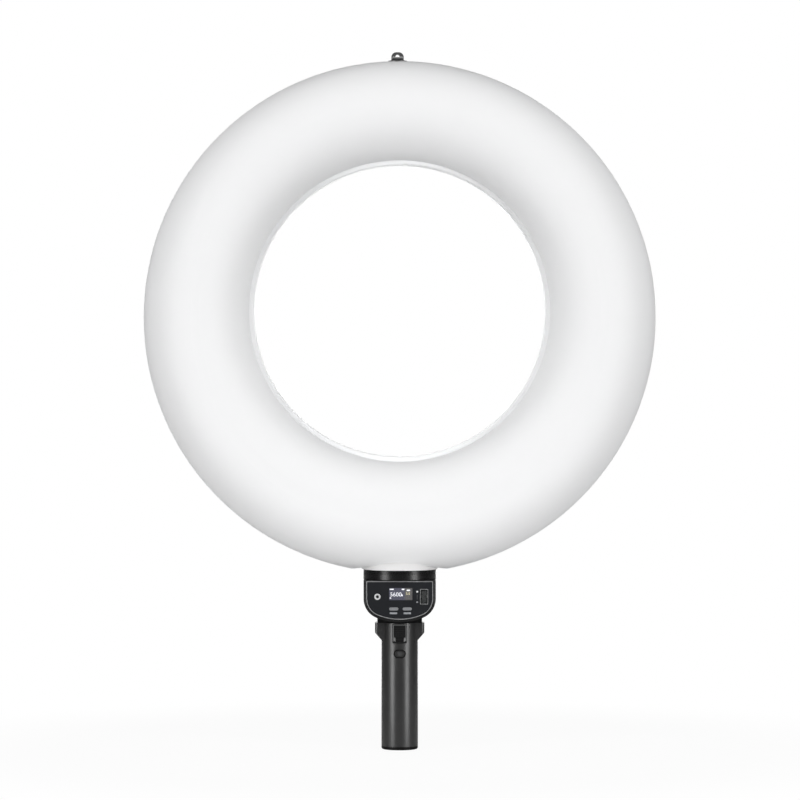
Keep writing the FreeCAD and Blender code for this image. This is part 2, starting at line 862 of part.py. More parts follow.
def neck_cuff():
    """White sleeve under the ring, with a saddle flange that lies inside the shells.

    The sleeve is lofted from the collar's circle to the oval that meets the tube.
    """
    sleeve = less("CuffSleeve", sleeve_form("CuffOuter", "0"),
                  sleeve_form("CuffInner", "cuff_wall"))
    wide = oval_bar("CuffFlangeOuter", "cuff_half + neck_gap + saddle_reach",
                    "cuff_depth + neck_gap + saddle_reach", COLLAR_TOP,
                    f"{COLLAR_TOP} + saddle_height")
    narrow = oval_bar("CuffFlangeInner", "cuff_half - cuff_wall / 2", "cuff_depth - cuff_wall / 2",
                      COLLAR_TOP, f"{COLLAR_TOP} + saddle_height + over")
    near = pillow("CuffNear", "(shell_wall + gap)")
    deep = pillow("CuffDeep", "(2 * shell_wall + gap)")
    inner, outer = "(cuff_half + neck_gap - gap)", "(cuff_half + neck_gap + saddle_reach + over)"
    slots = [
        block(f"CuffSlot{index}", (low, "-seam_overlap - gap", COLLAR_TOP),
              (high, "seam_overlap + gap", f"{COLLAR_TOP} + cuff_height"))
        for index, (low, high) in enumerate([(inner, outer), (f"-{outer}", f"-{inner}")])
    ]
    saddle = less("CuffSaddle", shared("CuffBand", wide, near), deep, narrow, *slots)
    return keep(joined("NeckCuff", sleeve, saddle), "neck_cuff")


def neck_bracket():
    """Bent plate with two gussets that carries the tray on the collar."""
    top = f"({BRACKET_TOP} + bracket_past)"
    half = "bracket_width / 2"
    back = "(tray_back + bracket_thick)"
    foot = block("BracketFoot", (f"-{half}", f"{back} - bracket_reach", COLLAR_TOP),
                 (half, back, f"{COLLAR_TOP} + bracket_thick"))
    stem = block("BracketStem", (f"-{half}", "tray_back", COLLAR_TOP), (half, back, top))
    parts = [foot, stem]
    for index, side in enumerate(("-1", "1")):
        rib = outline(doc, f"Gusset{index}Outline", "YZ_Plane", [
            (f"{back} - bracket_reach", f"{COLLAR_TOP} + bracket_thick / 2"),
            ("tray_back + over", f"{COLLAR_TOP} + bracket_thick / 2"),
            ("tray_back + over", f"{RING_CENTRE} - tray_outer - gusset_clear"),
            (f"{back} - bracket_reach", f"{COLLAR_TOP} + bracket_thick + gusset_nose"),
        ])
        bind(rib, Placement__Base__x=f"{side} * ({half} - bracket_thick / 2)")
        parts.append(drawn_out(f"Gusset{index}", rib, "bracket_thick"))
    holes = [
        rod(f"BracketHole{index}", (x, y, z), "screw_shank + seat_gap",
            "bracket_thick + 4 * over", axis)
        for index, (x, y, z, axis) in enumerate([
            ("bracket_side", "tray_back - over", BRACKET_TOP, "Y"),
            ("-bracket_side", "tray_back - over", BRACKET_TOP, "Y"),
            ("foot_side", FOOT_SCREW, f"{COLLAR_TOP} - over", "Z"),
            ("-foot_side", FOOT_SCREW, f"{COLLAR_TOP} - over", "Z"),
        ])
    ]
    plate = less("BracketCut", joined("BracketBent", *parts), *holes)
    return keep(plate, "neck_bracket")


def bracket_screws():
    """Two screws into the tray and two into the collar."""
    set_out = [
        ("bracket_side", "tray_back + bracket_thick", BRACKET_TOP, (0, -1, 0)),
        ("-bracket_side", "tray_back + bracket_thick", BRACKET_TOP, (0, -1, 0)),
        ("foot_side", FOOT_SCREW, f"{COLLAR_TOP} + bracket_thick", (0, 0, -1)),
        ("-foot_side", FOOT_SCREW, f"{COLLAR_TOP} + bracket_thick", (0, 0, -1)),
    ]
    shape = screw_shape(number("screw_head"), number("screw_deep"), number("screw_shank"),
                        number("bracket_thick + tray_wall - gap"))
    copies = []
    for x, y, z, axis in set_out:
        copy = shape.copy()
        turn = FreeCAD.Rotation(FreeCAD.Vector(0, 0, 1), FreeCAD.Vector(*axis))
        copy.Placement = FreeCAD.Placement(FreeCAD.Vector(number(x), number(y), number(z)), turn)
        copies.append(copy)
    return keep(feature("BracketScrews", Part.makeCompound(copies)), "bracket_screws")


def collar():
    """Black ring that joins the cuff to the housing, with fine grooves under its top edge."""
    body = new_body("Collar")
    side = "collar_radius - collar_side"
    corners = [
        ("cable_hole", "collar_height"),
        ("cable_hole", "collar_height - collar_top_wall"),
        (side, "collar_height - collar_top_wall"),
        (side, "0"),
        ("collar_radius - collar_edge", "0"),
        ("collar_radius", "collar_edge"),
    ]
    for step in range(int(number("groove_count")), 0, -1):
        level_z = f"collar_height - collar_edge - {step} * groove_pitch"
        slope = "(groove_mouth - groove_floor) / 2"
        corners += [
            ("collar_radius", level_z),
            ("collar_radius - collar_groove", f"{level_z} + {slope}"),
            ("collar_radius - collar_groove", f"{level_z} + {slope} + groove_floor"),
            ("collar_radius", f"{level_z} + groove_mouth"),
        ]
    corners += [
        ("collar_radius", "collar_height - collar_edge"),
        ("collar_radius - collar_edge", "collar_height"),
    ]
    section = outline(body, "CollarSection", "XZ_Plane", corners)
    turned(body, "Revolution", section, "Z_Axis")
    for index, sign in enumerate(("", "-")):
        hole = round_sketch(body, f"CollarTap{index}", "XY_Plane", f"{sign}foot_side", FOOT_SCREW,
                            "screw_shank + seat_gap", shift="collar_height + over")
        pulled(body, "Pocket", hole, "collar_top_wall + 3 * over")
    for index, (x, y) in enumerate(LID_SCREWS):
        hole = round_sketch(body, f"CollarHole{index}", "XY_Plane", x, y,
                            "screw_shank + seat_gap", shift="-over")
        pulled(body, "Pocket", hole, "lid_bite + 2 * over", backwards=True)
    place(body, z=HOUSING_TOP)
    return keep(body, "collar")


# Hanger

RING_TOP = f"({RING_CENTRE} + ring_radius)"
PIVOT = f"({RING_CENTRE} + ring_radius + flange_thick + bail_eye + gap)"
BRACKET_HIGH = f"({RING_CENTRE} + post_circle)"
GRIP_TOP = f"({RING_CENTRE} + ring_radius - top_drop)"


def top_bracket():
    """Plate on the tray whose head takes the hanger's thread."""
    low = f"({RING_CENTRE} + tray_inner + top_foot)"
    left, right = "hanger_shift - hanger_block", "hanger_shift + hanger_block"
    plate = block("TopPlate", (left, "tray_back", low),
                  (right, "tray_back + bracket_thick", GRIP_TOP))
    head = block("TopHead", (left, "-hanger_block / 2", f"{GRIP_TOP} - hanger_grip"),
                 (right, "tray_back + bracket_thick", GRIP_TOP))
    thread = rod("TopThread", ("hanger_shift", "0", f"{GRIP_TOP} - hanger_grip - over"),
                 "hanger_thread + run_gap", "hanger_grip + 2 * over")
    spots = [
        rod(f"TopHole{index}",
            (f"hanger_shift {side} top_side", "tray_back - over", BRACKET_HIGH),
            "screw_shank + seat_gap", "bracket_thick + 2 * over", "Y")
        for index, side in enumerate("+-")
    ]
    return keep(less("TopBracket", joined("TopBent", plate, head), thread, *spots), "top_bracket")


def top_bracket_screws():
    """Two screws that hold the top bracket on the tray."""
    spots = [
        (number(f"hanger_shift {side} top_side"), number("tray_back + bracket_thick"),
         number(BRACKET_HIGH))
        for side in "+-"
    ]
    return screws("TopScrews", "top_bracket_screws", spots, FreeCAD.Vector(0, -1, 0),
                  number("bracket_thick + tray_wall - gap"))


def hanger_screw():
    """Thread, coned flange with a hollow underside that fits the ring, and barrel."""
    low = f"({GRIP_TOP} - hanger_grip)"
    cone = new_body("HangerCone")
    section = outline(cone, "ConeSection", "XZ_Plane", [
        ("0", "-flange_thick"),
        ("flange_radius", "-2 * flange_thick"),
        ("flange_radius", "seat_gap"),
        ("flange_radius * flange_slope", "flange_thick"),
        ("0", "flange_thick"),
    ])
    turned(cone, "Revolution", section, "Z_Axis")
    place(cone, "hanger_shift", "0", RING_TOP)
    flange = less("HangerFlange", cone, pillow("HangerSeat", "(-run_gap)"))
    thread = rod("HangerThread", ("hanger_shift", "0", low), "hanger_thread",
                 f"{RING_TOP} + flange_thick / 2 - {low}")
    barrel = rod("HangerBarrel", ("hanger_shift - barrel_width / 2", "0", PIVOT),
                 "barrel_radius", "barrel_width", "X")
    cheek = "(barrel_radius * 0.8)"
    neck = block("HangerNeck",
                 ("hanger_shift - barrel_width / 2", f"-{cheek}",
                  f"{RING_TOP} + flange_thick / 2"),
                 ("hanger_shift + barrel_width / 2", cheek, PIVOT))
    hole = rod("HangerHole", ("hanger_shift - barrel_width", "0", PIVOT), "bail_pin",
               "2 * barrel_width", "X")
    body = joined("HangerBody", thread, flange, barrel, neck)
    return keep(less("HangerScrew", body, hole), "hanger_screw")


def bail_pin():
    """Pin that the bail turns on."""
    pin = rod("BailPin", ("hanger_shift - bail_width / 2", "0", PIVOT), "bail_pin", "bail_width",
              "X")
    return keep(pin, "bail_pin")


def hanger_bail():
    """Flat arched loop with an eye at each end and a domed opening over the barrel."""
    left, right = "hanger_shift - bail_width / 2", "hanger_shift + bail_width / 2"
    top = f"{RING_TOP} + bail_height"
    plate = front_slab("BailPlate", [
        (left, PIVOT),
        (right, PIVOT),
        (right, f"{top} - bail_bend"),
        (f"{right} - bail_bend", top, "bail_bend"),
        (f"{left} + bail_bend", top),
        (left, f"{top} - bail_bend", "bail_bend"),
    ], "bail_thick / 2", "-bail_thick / 2")
    eyes = rod("BailEyes", (left, "0", PIVOT), "bail_eye", "bail_width", "X")
    room = rod("BailRoom", ("hanger_shift - barrel_width / 2 - seat_gap", "0", PIVOT),
               "barrel_radius + bail_slit", "barrel_width + 2 * seat_gap", "X")
    dome = rod("BailDome", ("hanger_shift", "-bail_thick", f"{PIVOT} + bail_dome"), "bail_dome",
               "2 * bail_thick", "Y")
    bore = rod("BailBore", (f"{left} - over", "0", PIVOT), "bail_pin + run_gap",
               "bail_width + 2 * over", "X")
    loop = joined("BailLoop", plate, eyes)
    return keep(less("HangerBail", loop, room, dome, bore), "hanger_bail")


# Control housing

CAVITY_INSET = "(panel_inset + panel_ledge)"
SOCKET_Z = f"({FOOT_TOP} + socket_level)"
SOCKET_BACK = "(housing_half - socket_sink)"
DRIVER_TOP = f"({SOCKET_Z} - socket_high / 2)"
FOOT_SCREWS = [
    (f"{side}foot_screw_x", f"{way}foot_screw_y") for side in ("", "-") for way in ("-", "")
]
FOOT_SEAT = f"({FOOT_TOP} + foot_seat)"
BOARD_FRONT = "(housing_front - control_back)"
DIAL_Y = "-(housing_front + dial_proud - dial_radius)"
DIAL_INNER = "(dial_x - dial_width / 2 - encoder_gap)"
DIAL_OUTER = "(dial_x + dial_width / 2 + encoder_gap)"


def level(drop):
    """Height of a fitting on the panel, given how far it lies below the housing's top."""
    return f"({HOUSING_TOP} - {drop})"


SCREEN = ("screen_x", level("screen_drop"))
POWER = ("power_x", level("power_drop"))
DIAL = ("dial_x", level("dial_drop"))
MODES = {"left": ("mode_left", level("mode_drop")), "right": ("mode_right", level("mode_drop"))}
STANDOFFS = [
    ("-stand_left_high", level("stand_high")),
    ("stand_right", level("stand_high")),
    ("-stand_left_low", level("stand_low")),
    ("stand_right", level("stand_low")),
]


def face_outline(name, inset, top_inset):
    """U outline of the housing in front view, taken in by an inset, as a document sketch.

    The sides end in corner bends that run on into one wide floor bend.
    """
    spread = "(floor_bend - corner_bend)"
    corner_x = "(housing_half - corner_bend)"
    drop = f"sqrt({spread} * {spread} - {corner_x} * {corner_x})"
    floor_z = f"({FOOT_TOP} + floor_bend)"
    share = f"((floor_bend - {inset}) / {spread})"
    side = f"(housing_half - {inset})"
    meet_x, meet_z = f"{corner_x} * {share}", f"{floor_z} - {drop} * {share}"
    shoulder, top = f"{floor_z} - {drop}", f"{HOUSING_TOP} - {top_inset}"
    bend, floor = f"corner_bend - {inset}", f"floor_bend - {inset}"
    return outline(doc, name, "XZ_Plane", [
        (f"-{side}", top),
        (f"-{side}", shoulder),
        (f"-{meet_x}", meet_z, bend),
        (meet_x, meet_z, floor),
        (side, shoulder, bend),
        (side, top),
    ])


def face_slab(name, inset, top_inset, front, back):
    """Slab of the U outline between two depths, counted from the middle towards the viewer."""
    sketch = face_outline(f"{name}Outline", inset, top_inset)
    bind(sketch, Placement__Base__y=f"-(({front}) + ({back})) / 2")
    return drawn_out(name, sketch, f"({front}) - ({back})")


def plan_slab(name, inset, front_inset, bend, low, high):
    """Slab of the housing's plan: a flat front, straight sides and a round back."""
    side = f"(housing_half - {inset})"
    front = f"(housing_front - {front_inset})"
    sketch = outline(doc, f"{name}Outline", "XY_Plane", [
        (f"-{side} + {bend}", f"-{front}", bend),
        (f"{side} - {bend}", f"-{front}"),
        (side, f"-{front} + {bend}", bend),
        (side, "0"),
        ("0", side, side),
        (f"-{side}", "0", side),
        (f"-{side}", f"-{front} + {bend}"),
    ])
    bind(sketch, Placement__Base__z=f"(({low}) + ({high})) / 2")
    return drawn_out(name, sketch, f"({high}) - ({low})")


def pill(x, z, width, height):
    """Corners of an upright slot with round ends, in front view."""
    flat, bend = f"(({width}) - ({height})) / 2", f"({height}) / 2"
    return [
        (f"{x} - {flat}", f"{z} - {bend}", bend),
        (f"{x} + {flat}", f"{z} - {bend}"),
        (f"{x} + {flat} + {bend}", z, bend),
        (f"{x} + {flat}", f"{z} + {bend}", bend),
        (f"{x} - {flat}", f"{z} + {bend}"),
        (f"{x} - {flat} - {bend}", z, bend),
    ]


def soft_box(x, z, width, height, bend):
    """Corners of a rectangle with rounded corners, in front view."""
    left, right = f"{x} - ({width}) / 2", f"{x} + ({width}) / 2"
    low, high = f"{z} - ({height}) / 2", f"{z} + ({height}) / 2"
    bend = f"({bend})"
    return [
        (f"{left} + {bend}", low, bend),
        (f"{right} - {bend}", low),
        (right, f"{low} + {bend}", bend),
        (right, f"{high} - {bend}"),
        (f"{right} - {bend}", high, bend),
        (f"{left} + {bend}", high),
        (left, f"{high} - {bend}", bend),
        (left, f"{low} + {bend}"),
    ]


def front_slab(name, corners, front, back):
    """Slab of any front view outline between two depths towards the viewer."""
    sketch = outline(doc, f"{name}Outline", "XZ_Plane", corners)
    bind(sketch, Placement__Base__y=f"-(({front}) + ({back})) / 2")
    return drawn_out(name, sketch, f"({front}) - ({back})")


def housing_shell():
    """Bucket of the control housing, open at the front and the top."""
    past = "housing_half + over"
    plan = plan_slab("HullPlan", "0", "0", "edge_bend", FOOT_TOP, HOUSING_TOP)
    face = face_slab("HullFace", "0", "0", past, f"-({past})")
    hull = shared("Hull", plan, face)
    hollow_plan = plan_slab("HollowPlan", "housing_wall", "panel_thick", "edge_bend / 2",
                            FOOT_TOP, f"{HOUSING_TOP} + over")
    hollow_face = face_slab("HollowFace", CAVITY_INSET, "-over", past, f"-({past})")
    hollow = shared("Hollow", hollow_plan, hollow_face)
    seat = face_slab("PanelSeat", "(panel_inset - seat_gap)", "(top_band - seat_gap)",
                     "housing_front + over", PANEL_BACK)
    socket = block("SocketHole",
                   ("-socket_half - gap", "0", f"{SOCKET_Z} - socket_high / 2 - gap"),
                   ("socket_half + gap", past, f"{SOCKET_Z} + socket_high / 2 + gap"))
    holes = [
        rod(f"FloorHole{index}", (x, y, FOOT_TOP), "screw_shank + seat_gap", "foot_high")
        for index, (x, y) in enumerate(FOOT_SCREWS)
    ]
    sinks = [
        rod(f"FloorSink{index}", (x, y, FOOT_SEAT), "screw_head + gap", "foot_high / 2")
        for index, (x, y) in enumerate(FOOT_SCREWS)
    ]
    shell = less("HousingCut", hull, hollow, seat, socket, *holes, *sinks)
    return keep(shell, "housing_shell")


def housing_lid():
    """Plate that closes the housing's top and takes the collar."""
    low = f"({HOUSING_TOP} - lid_thick)"
    across = f"(housing_half - {CAVITY_INSET} - gap)"
    plate = shared("LidPlate",
                   plan_slab("LidPlan", "(housing_wall + gap)", "(panel_thick + gap)",
                             "edge_bend / 2", low, HOUSING_TOP),
                   block("LidWidth", (f"-{across}", "-housing_half", low),
                         (across, "housing_half", HOUSING_TOP)))
    cable = rod("LidCable", ("0", "0", f"{low} - over"), "cable_hole", "lid_thick + 2 * over")
    holes = [
        rod(f"LidHole{index}", (x, y, f"{low} - over"), "screw_shank + gap",
            "lid_thick + 2 * over")
        for index, (x, y) in enumerate(LID_SCREWS)
    ]
    return keep(less("LidCut", plate, cable, *holes), "housing_lid")


def collar_screws():
    """Four screws up through the lid into the collar."""
    low = number(f"{HOUSING_TOP} - lid_thick")
    spots = [(number(x), number(y), low) for x, y in LID_SCREWS]
    return screws("CollarScrews", "collar_screws", spots, FreeCAD.Vector(0, 0, 1),
                  number("lid_thick + lid_bite"))


def face_panel():
    """Flat black panel with its cut-outs and the posts for the control board."""
    rear = face_slab("PanelRear", "panel_inset", "top_band", "housing_front - border_sink",
                     PANEL_BACK)
    front = face_slab("PanelFront", "(panel_inset + border_width + seat_gap)",
                      "(top_band + border_width + seat_gap)", "housing_front", PANEL_BACK)
    posts = [
        rod(f"PanelPost{index}", (x, f"-{PANEL_BACK} - over / 2", z), "stand_radius",
            f"{PANEL_BACK} - {BOARD_FRONT} + over / 2", "Y")
        for index, (x, z) in enumerate(STANDOFFS)
    ]
    taps = [
        rod(f"PanelTap{index}", (x, f"-{PANEL_BACK}", z), "small_shank",
            f"{PANEL_BACK} - {BOARD_FRONT} + over", "Y")
        for index, (x, z) in enumerate(STANDOFFS)
    ]
    out, behind = "housing_front + over", f"{PANEL_BACK} - over"
    window = front_slab("WindowHole", soft_box(*SCREEN, "screen_width", "screen_height",
                                               "screen_bend"), out, behind)
    power = rod("PowerHole", (POWER[0], f"-({out})", POWER[1]), "power_ring_radius + seat_gap / 2",
                "panel_thick + 2 * over", "Y")
    modes = [
        front_slab(f"ModeHole{name.title()}",
                   pill(x, z, "mode_width + 2 * seat_gap", "mode_height + 2 * seat_gap"),
                   out, behind)
        for name, (x, z) in MODES.items()
    ]
    slot = front_slab("DialHole",
                      soft_box(*DIAL, "dial_width + 2 * dial_side", "bezel_height - bezel_rim",
                               "bezel_bend - bezel_rim / 2"),
                      out, behind)
    plate = joined("PanelPlate", rear, front, *posts)
    return keep(less("PanelCut", plate, window, power, slot, *modes, *taps), "face_panel")


def panel_border():
    """Thin silver line that frames the panel."""
    outer = face_slab("BorderOuter", "panel_inset", "top_band", "housing_front + border_proud",
                      "housing_front - border_sink")
    inner = face_slab("BorderInner", "(panel_inset + border_width)", "(top_band + border_width)",
                      "housing_front + over", "housing_front - border_sink - over")
    return keep(less("PanelBorder", outer, inner), "panel_border")


def display():
    """Glass in the panel's window and the lit module behind it."""
    x, z = SCREEN
    glass = front_slab("DisplayWindow",
                       soft_box(x, z, "screen_width - 2 * seat_gap",
                                "screen_height - 2 * seat_gap", "screen_bend"),
                       "housing_front - glass_sink", "housing_front - glass_sink - glass_thick")
    keep(glass, "display_window")
    module = front_slab("DisplayModule",
                        soft_box(x, z, "screen_width + 2 * module_side",
                                 "screen_height + 2 * module_foot", "screen_bend"),
                        PANEL_BACK, f"{PANEL_BACK} - screen_thick")
    return keep(module, "display_module")


def power_button():
    """Silver ring in the panel and the cap that is pressed inside it."""
    x, z = POWER
    ring = less("PowerRingCut",
                rod("PowerRingOuter", (x, "-housing_front - button_proud", z),
                    "power_ring_radius", "panel_thick + button_proud", "Y"),
                rod("PowerRingInner", (x, "-housing_front - 2 * over", z),
                    "power_cap_radius + seat_gap", "panel_thick + 4 * over", "Y"))
    keep(ring, "power_ring")
    cap = rod("PowerCap", (x, "-housing_front - button_proud + power_sink", z),
              "power_cap_radius", "panel_thick + button_proud", "Y")
    disc = rod("PowerFlange", (x, f"-{PANEL_BACK} + gap", z), "power_ring_radius", "flange_plate",
               "Y")
    stem = rod("PowerStem", (x, f"-{PANEL_BACK}", z), "stem_radius", "button_stem", "Y")
    return keep(joined("PowerButton", cap, disc, stem), "power_button")


def mode_button(side):
    """Pill shaped button with a flange behind the panel."""
    x, z = MODES[side]
    name = f"Mode{side.title()}"
    back = f"{PANEL_BACK} - gap"
    cap = front_slab(f"{name}Cap", pill(x, z, "mode_width", "mode_height"),
                     "housing_front + button_proud", f"{back} - flange_plate / 2")
    flange = front_slab(f"{name}Flange",
                        pill(x, z, "mode_width + 2 * mode_flange", "mode_height + 2 * mode_flange"),
                        back, f"{back} - flange_plate")
    stem = rod(f"{name}Stem", (x, f"-{PANEL_BACK}", z), "stem_radius", "button_stem", "Y")
    return keep(joined(f"{name}Button", cap, flange, stem), f"mode_button_{side}")


def dial_wheel():
    """Thumb wheel with grooves all round its rim, and its axle."""
    x, z = DIAL
    body = new_body("DialWheel")
    rim = round_sketch(body, "DialRim", "YZ_Plane", "0", "0", "dial_radius")
    pulled(body, "Pad", rim, "dial_width", both=True)
    groove = round_sketch(body, "DialGroove", "YZ_Plane", "dial_radius + groove_out", "0",
                          "groove_radius")
    cut = pulled(body, "Pocket", groove, "dial_width + 2 * over", both=True)
    ring = body.newObject("PartDesign::PolarPattern", "DialPattern")
    ring.Originals = [cut]
    ring.Axis = (origin_part(body, "X_Axis"), [""])
    ring.Angle = 360
    bind(ring, Occurrences="dial_grooves")
    body.Tip = ring
    bore = round_sketch(body, "DialBore", "YZ_Plane", "0", "0", "dial_axle")
    pulled(body, "Pocket", bore, "dial_width + 2 * over", both=True)
    place(body, x, DIAL_Y, z)
    keep(body, "dial_wheel")
    axle = rod("DialAxle", (f"{DIAL_INNER} - cheek_thick", DIAL_Y, z), "dial_axle",
               f"{DIAL_OUTER} - {DIAL_INNER} + 2 * cheek_thick - 2 * gap", "X")
    return keep(axle, "dial_axle")


def dial_seat():
    """Bezel round the wheel, its outer bracket and its encoder."""
    x, z = DIAL
    frame = less("BezelCut",
                 front_slab("BezelOuter", soft_box(x, z, "bezel_width", "bezel_height",
                                                   "bezel_bend"),
                            "housing_front + bezel_proud", "housing_front"),
                 front_slab("BezelInner",
                            soft_box(x, z, "bezel_width - 2 * bezel_rim",
                                     "bezel_height - 2 * bezel_rim",
                                     "bezel_bend - bezel_rim / 2"),
                            "housing_front + over", "housing_front - over"))
    keep(frame, "dial_bezel")
    cheek = block("DialCheek", (DIAL_OUTER, f"-{PANEL_BACK}", f"{z} - cheek_half"),
                  (f"{DIAL_OUTER} + cheek_thick", f"{DIAL_Y} + cheek_past", f"{z} + cheek_half"))
    cheek_bore = rod("DialCheekBore", (f"{DIAL_OUTER} - over", DIAL_Y, z), "dial_axle + run_gap",
                     "cheek_thick + 2 * over", "X")
    keep(less("DialBracket", cheek, cheek_bore), "dial_bracket")
    case = block("EncoderCase",
                 (f"{DIAL_INNER} - encoder_case", f"-{PANEL_BACK} + cover_edge",
                  f"{z} - encoder_half"),
                 (DIAL_INNER, f"{DIAL_Y} + cheek_past + over", f"{z} + encoder_half"))
    case_bore = rod("EncoderBore", (f"{DIAL_INNER} - cheek_thick - gap", DIAL_Y, z),
                    "dial_axle + run_gap", "cheek_thick + 2 * over", "X")
    return keep(less("EncoderBody", case, case_bore), "encoder_body")


def control_board():
    """Board on the panel's posts, with the three switches that the buttons press."""
    right = f"({DIAL_INNER} - encoder_case - seat_gap - gap)"
    board = block("ControlBlank", ("-control_left", f"-{BOARD_FRONT}", level("control_low")),
                  (right, f"-{BOARD_FRONT} + board_thick", level("control_top")))
    holes = [
        rod(f"ControlHole{index}", (x, f"-{BOARD_FRONT} - over", z), "small_shank + gap",
            "board_thick + 2 * over", "Y")
        for index, (x, z) in enumerate(STANDOFFS)
    ]
    keep(less("ControlBoard", board, *holes), "control_board")
    spots = [
        (number(x), number(f"-{BOARD_FRONT} + board_thick"), number(z)) for x, z in STANDOFFS
    ]
    screws("BoardScrews", "board_screws", spots, FreeCAD.Vector(0, -1, 0),
           number("control_back - panel_thick - over"), kind="small")
    side = number("switch_side")
    cases = []
    for x, z in (POWER, MODES["left"], MODES["right"]):
        corner = FreeCAD.Vector(number(x) - side / 2, number(f"-{BOARD_FRONT} - switch_height"),
                                number(z) - side / 2)
        cases.append(Part.makeBox(side, number("switch_height"), side, corner))
    return keep(feature("ButtonSwitches", Part.makeCompound(cases)), "button_switches")


def power_inlet():
    """Inlet for the cord at the back: a flat shell with a tongue in its mouth."""
    shell = block("InletCase",
                  ("-socket_half", f"{SOCKET_BACK} - socket_depth", DRIVER_TOP),
                  ("socket_half", SOCKET_BACK, f"{DRIVER_TOP} + socket_high"))
    mouth = block("InletMouth",
                  ("-socket_half + socket_wall", f"{SOCKET_BACK} - socket_depth + socket_floor",
                   f"{DRIVER_TOP} + socket_wall"),
                  ("socket_half - socket_wall", f"{SOCKET_BACK} + over",
                   f"{DRIVER_TOP} + socket_high - socket_wall"))
    tongue = block("InletTongue",
                   ("-socket_half + tongue_clear", f"{SOCKET_BACK} - socket_depth + over",
                    f"{SOCKET_Z} - socket_tongue / 2"),
                   ("socket_half - tongue_clear", f"{SOCKET_BACK} - over",
                    f"{SOCKET_Z} + socket_tongue / 2"))
    return keep(joined("PowerInlet", less("InletShell", shell, mouth), tongue), "power_inlet")


def driver_parts():
    """Driver board with its coil and capacitors, and the three posts under it."""
    board = block("DriverBlank", ("-driver_half", "driver_front", f"{DRIVER_TOP} - board_thick"),
                  ("driver_half", f"{SOCKET_BACK} - 2 * socket_floor", DRIVER_TOP))
    coil = rod("DriverCoil", ("-2 * coil_radius", "driver_front + coil_radius + 3 * over",
                              DRIVER_TOP),
               "coil_radius", "coil_height")
    cans = [
        rod(f"DriverCan{index}", (x, "driver_front + 2 * can_radius", DRIVER_TOP), "can_radius",
            "can_height")
        for index, x in enumerate(("can_radius", "3 * can_radius + 2 * over"))
    ]
    trim = plan_slab("DriverTrim", "(housing_wall + gap)", "panel_thick", "edge_bend / 2",
                     FOOT_TOP, HOUSING_TOP)
    keep(joined("DriverBoard", shared("DriverPlate", board, trim), coil, *cans), "driver_board")
    legs = [
        rod(f"DriverLeg{index}", (x, y, FOOT_TOP), "leg_radius",
            f"{DRIVER_TOP} - board_thick - {FOOT_TOP}")
        for index, (x, y) in enumerate([("-leg_side", "leg_front"), ("leg_side", "leg_front"),
                                        ("0", "leg_back")])
    ]
    room = shared("LegRoom",
                  plan_slab("LegPlan", "(housing_wall + seat_gap)", "0", "edge_bend / 2",
                            FOOT_TOP, HOUSING_TOP),
                  face_slab("LegFace", f"({CAVITY_INSET} + seat_gap / 2)", "0", "housing_half",
                            "-housing_half"))
    posts = doc.addObject("Part::Compound", "LegSet")
    posts.Links = legs
    return keep(shared("DriverPosts", posts, room), "driver_posts")


# Foot and handle

PIN_X = ("-1.5 * contact_pitch", "-contact_pitch / 2", "contact_pitch / 2", "1.5 * contact_pitch")
PIN_Y = "((tongue_back - tongue_front) / 2)"
TONGUE_LOW = "(grip_length - tongue_length)"
SOCKET_FLOOR = "(grip_length - tongue_length - contact_gap)"
CELL_FOOT = "(plug_height + spring_height)"
INSERT_FOOT = "(plug_height + spring_height + cell_length)"


def coupling_foot():
    """Block under the housing whose tongue plugs into the handle."""
    base = block("FootBlock", ("-foot_half", "-foot_depth / 2", HEAD_TOP),
                 ("foot_half", "foot_depth / 2", f"{FOOT_TOP} + foot_high"))
    hull = face_slab("FootHull", "(-seat_gap / 2)", "0", "housing_half", "-housing_half")
    tongue = block("FootTongue", ("-tongue_half", "-tongue_front", TONGUE_LOW),
                   ("tongue_half", "tongue_back", f"{HEAD_TOP} + over / 2"))
    pocket = block("FootPocket",
                   ("-bolt_half - gap", "-tongue_front - over",
                    f"{BOLT_Z} - bolt_height / 2 - gap"),
                   ("bolt_half + gap", "-tongue_front + bolt_throw",
                    f"{BOLT_Z} + bolt_height / 2 + gap"))
    taps = [
        rod(f"FootTap{index}", (x, y, f"{HEAD_TOP} + foot_tap"), "screw_shank + seat_gap",
            "foot_high")
        for index, (x, y) in enumerate(FOOT_SCREWS)
    ]
    pins = [
        rod(f"FootPinHole{index}", (x, PIN_Y, f"{TONGUE_LOW} - over"), "contact_pin",
            "contact_deep + over")
        for index, x in enumerate(PIN_X)
    ]
    solid = joined("FootSolid", less("FootTop", base, hull), tongue)
    return keep(less("CouplingFoot", solid, pocket, *taps, *pins), "coupling_foot")


def foot_screws():
    """Four screws down through the housing's floor into the foot."""
    seat = number(FOOT_SEAT)
    spots = [(number(x), number(y), seat) for x, y in FOOT_SCREWS]
    return screws("FootScrews", "foot_screws", spots, FreeCAD.Vector(0, 0, -1),
                  number("foot_screw_length"))


def contact_parts():
    """Pins in the tongue and the plate they stand on."""
    low, high = number(f"{SOCKET_FLOOR} + gap / 2"), number(f"{TONGUE_LOW} + contact_deep")
    pins = [
        Part.makeCylinder(number("contact_pin"), high - low,
                          FreeCAD.Vector(number(x), number(PIN_Y), low))
        for x in PIN_X
    ]
    keep(feature("ContactPins", Part.makeCompound(pins)), "contact_pins")
    plate = block("ContactPlate",
                  ("-tongue_half", "-tongue_front", f"{SOCKET_FLOOR} - board_thick"),
                  ("tongue_half", "tongue_back", SOCKET_FLOOR))
    return keep(plate, "contact_plate")


def edges_where(shape, rule):
    """Name the edges of a shape whose middle keeps a rule."""
    return [
        f"Edge{index}"
        for index, edge in enumerate(shape.Edges, start=1)
        if rule(edge.CenterOfMass)
    ]


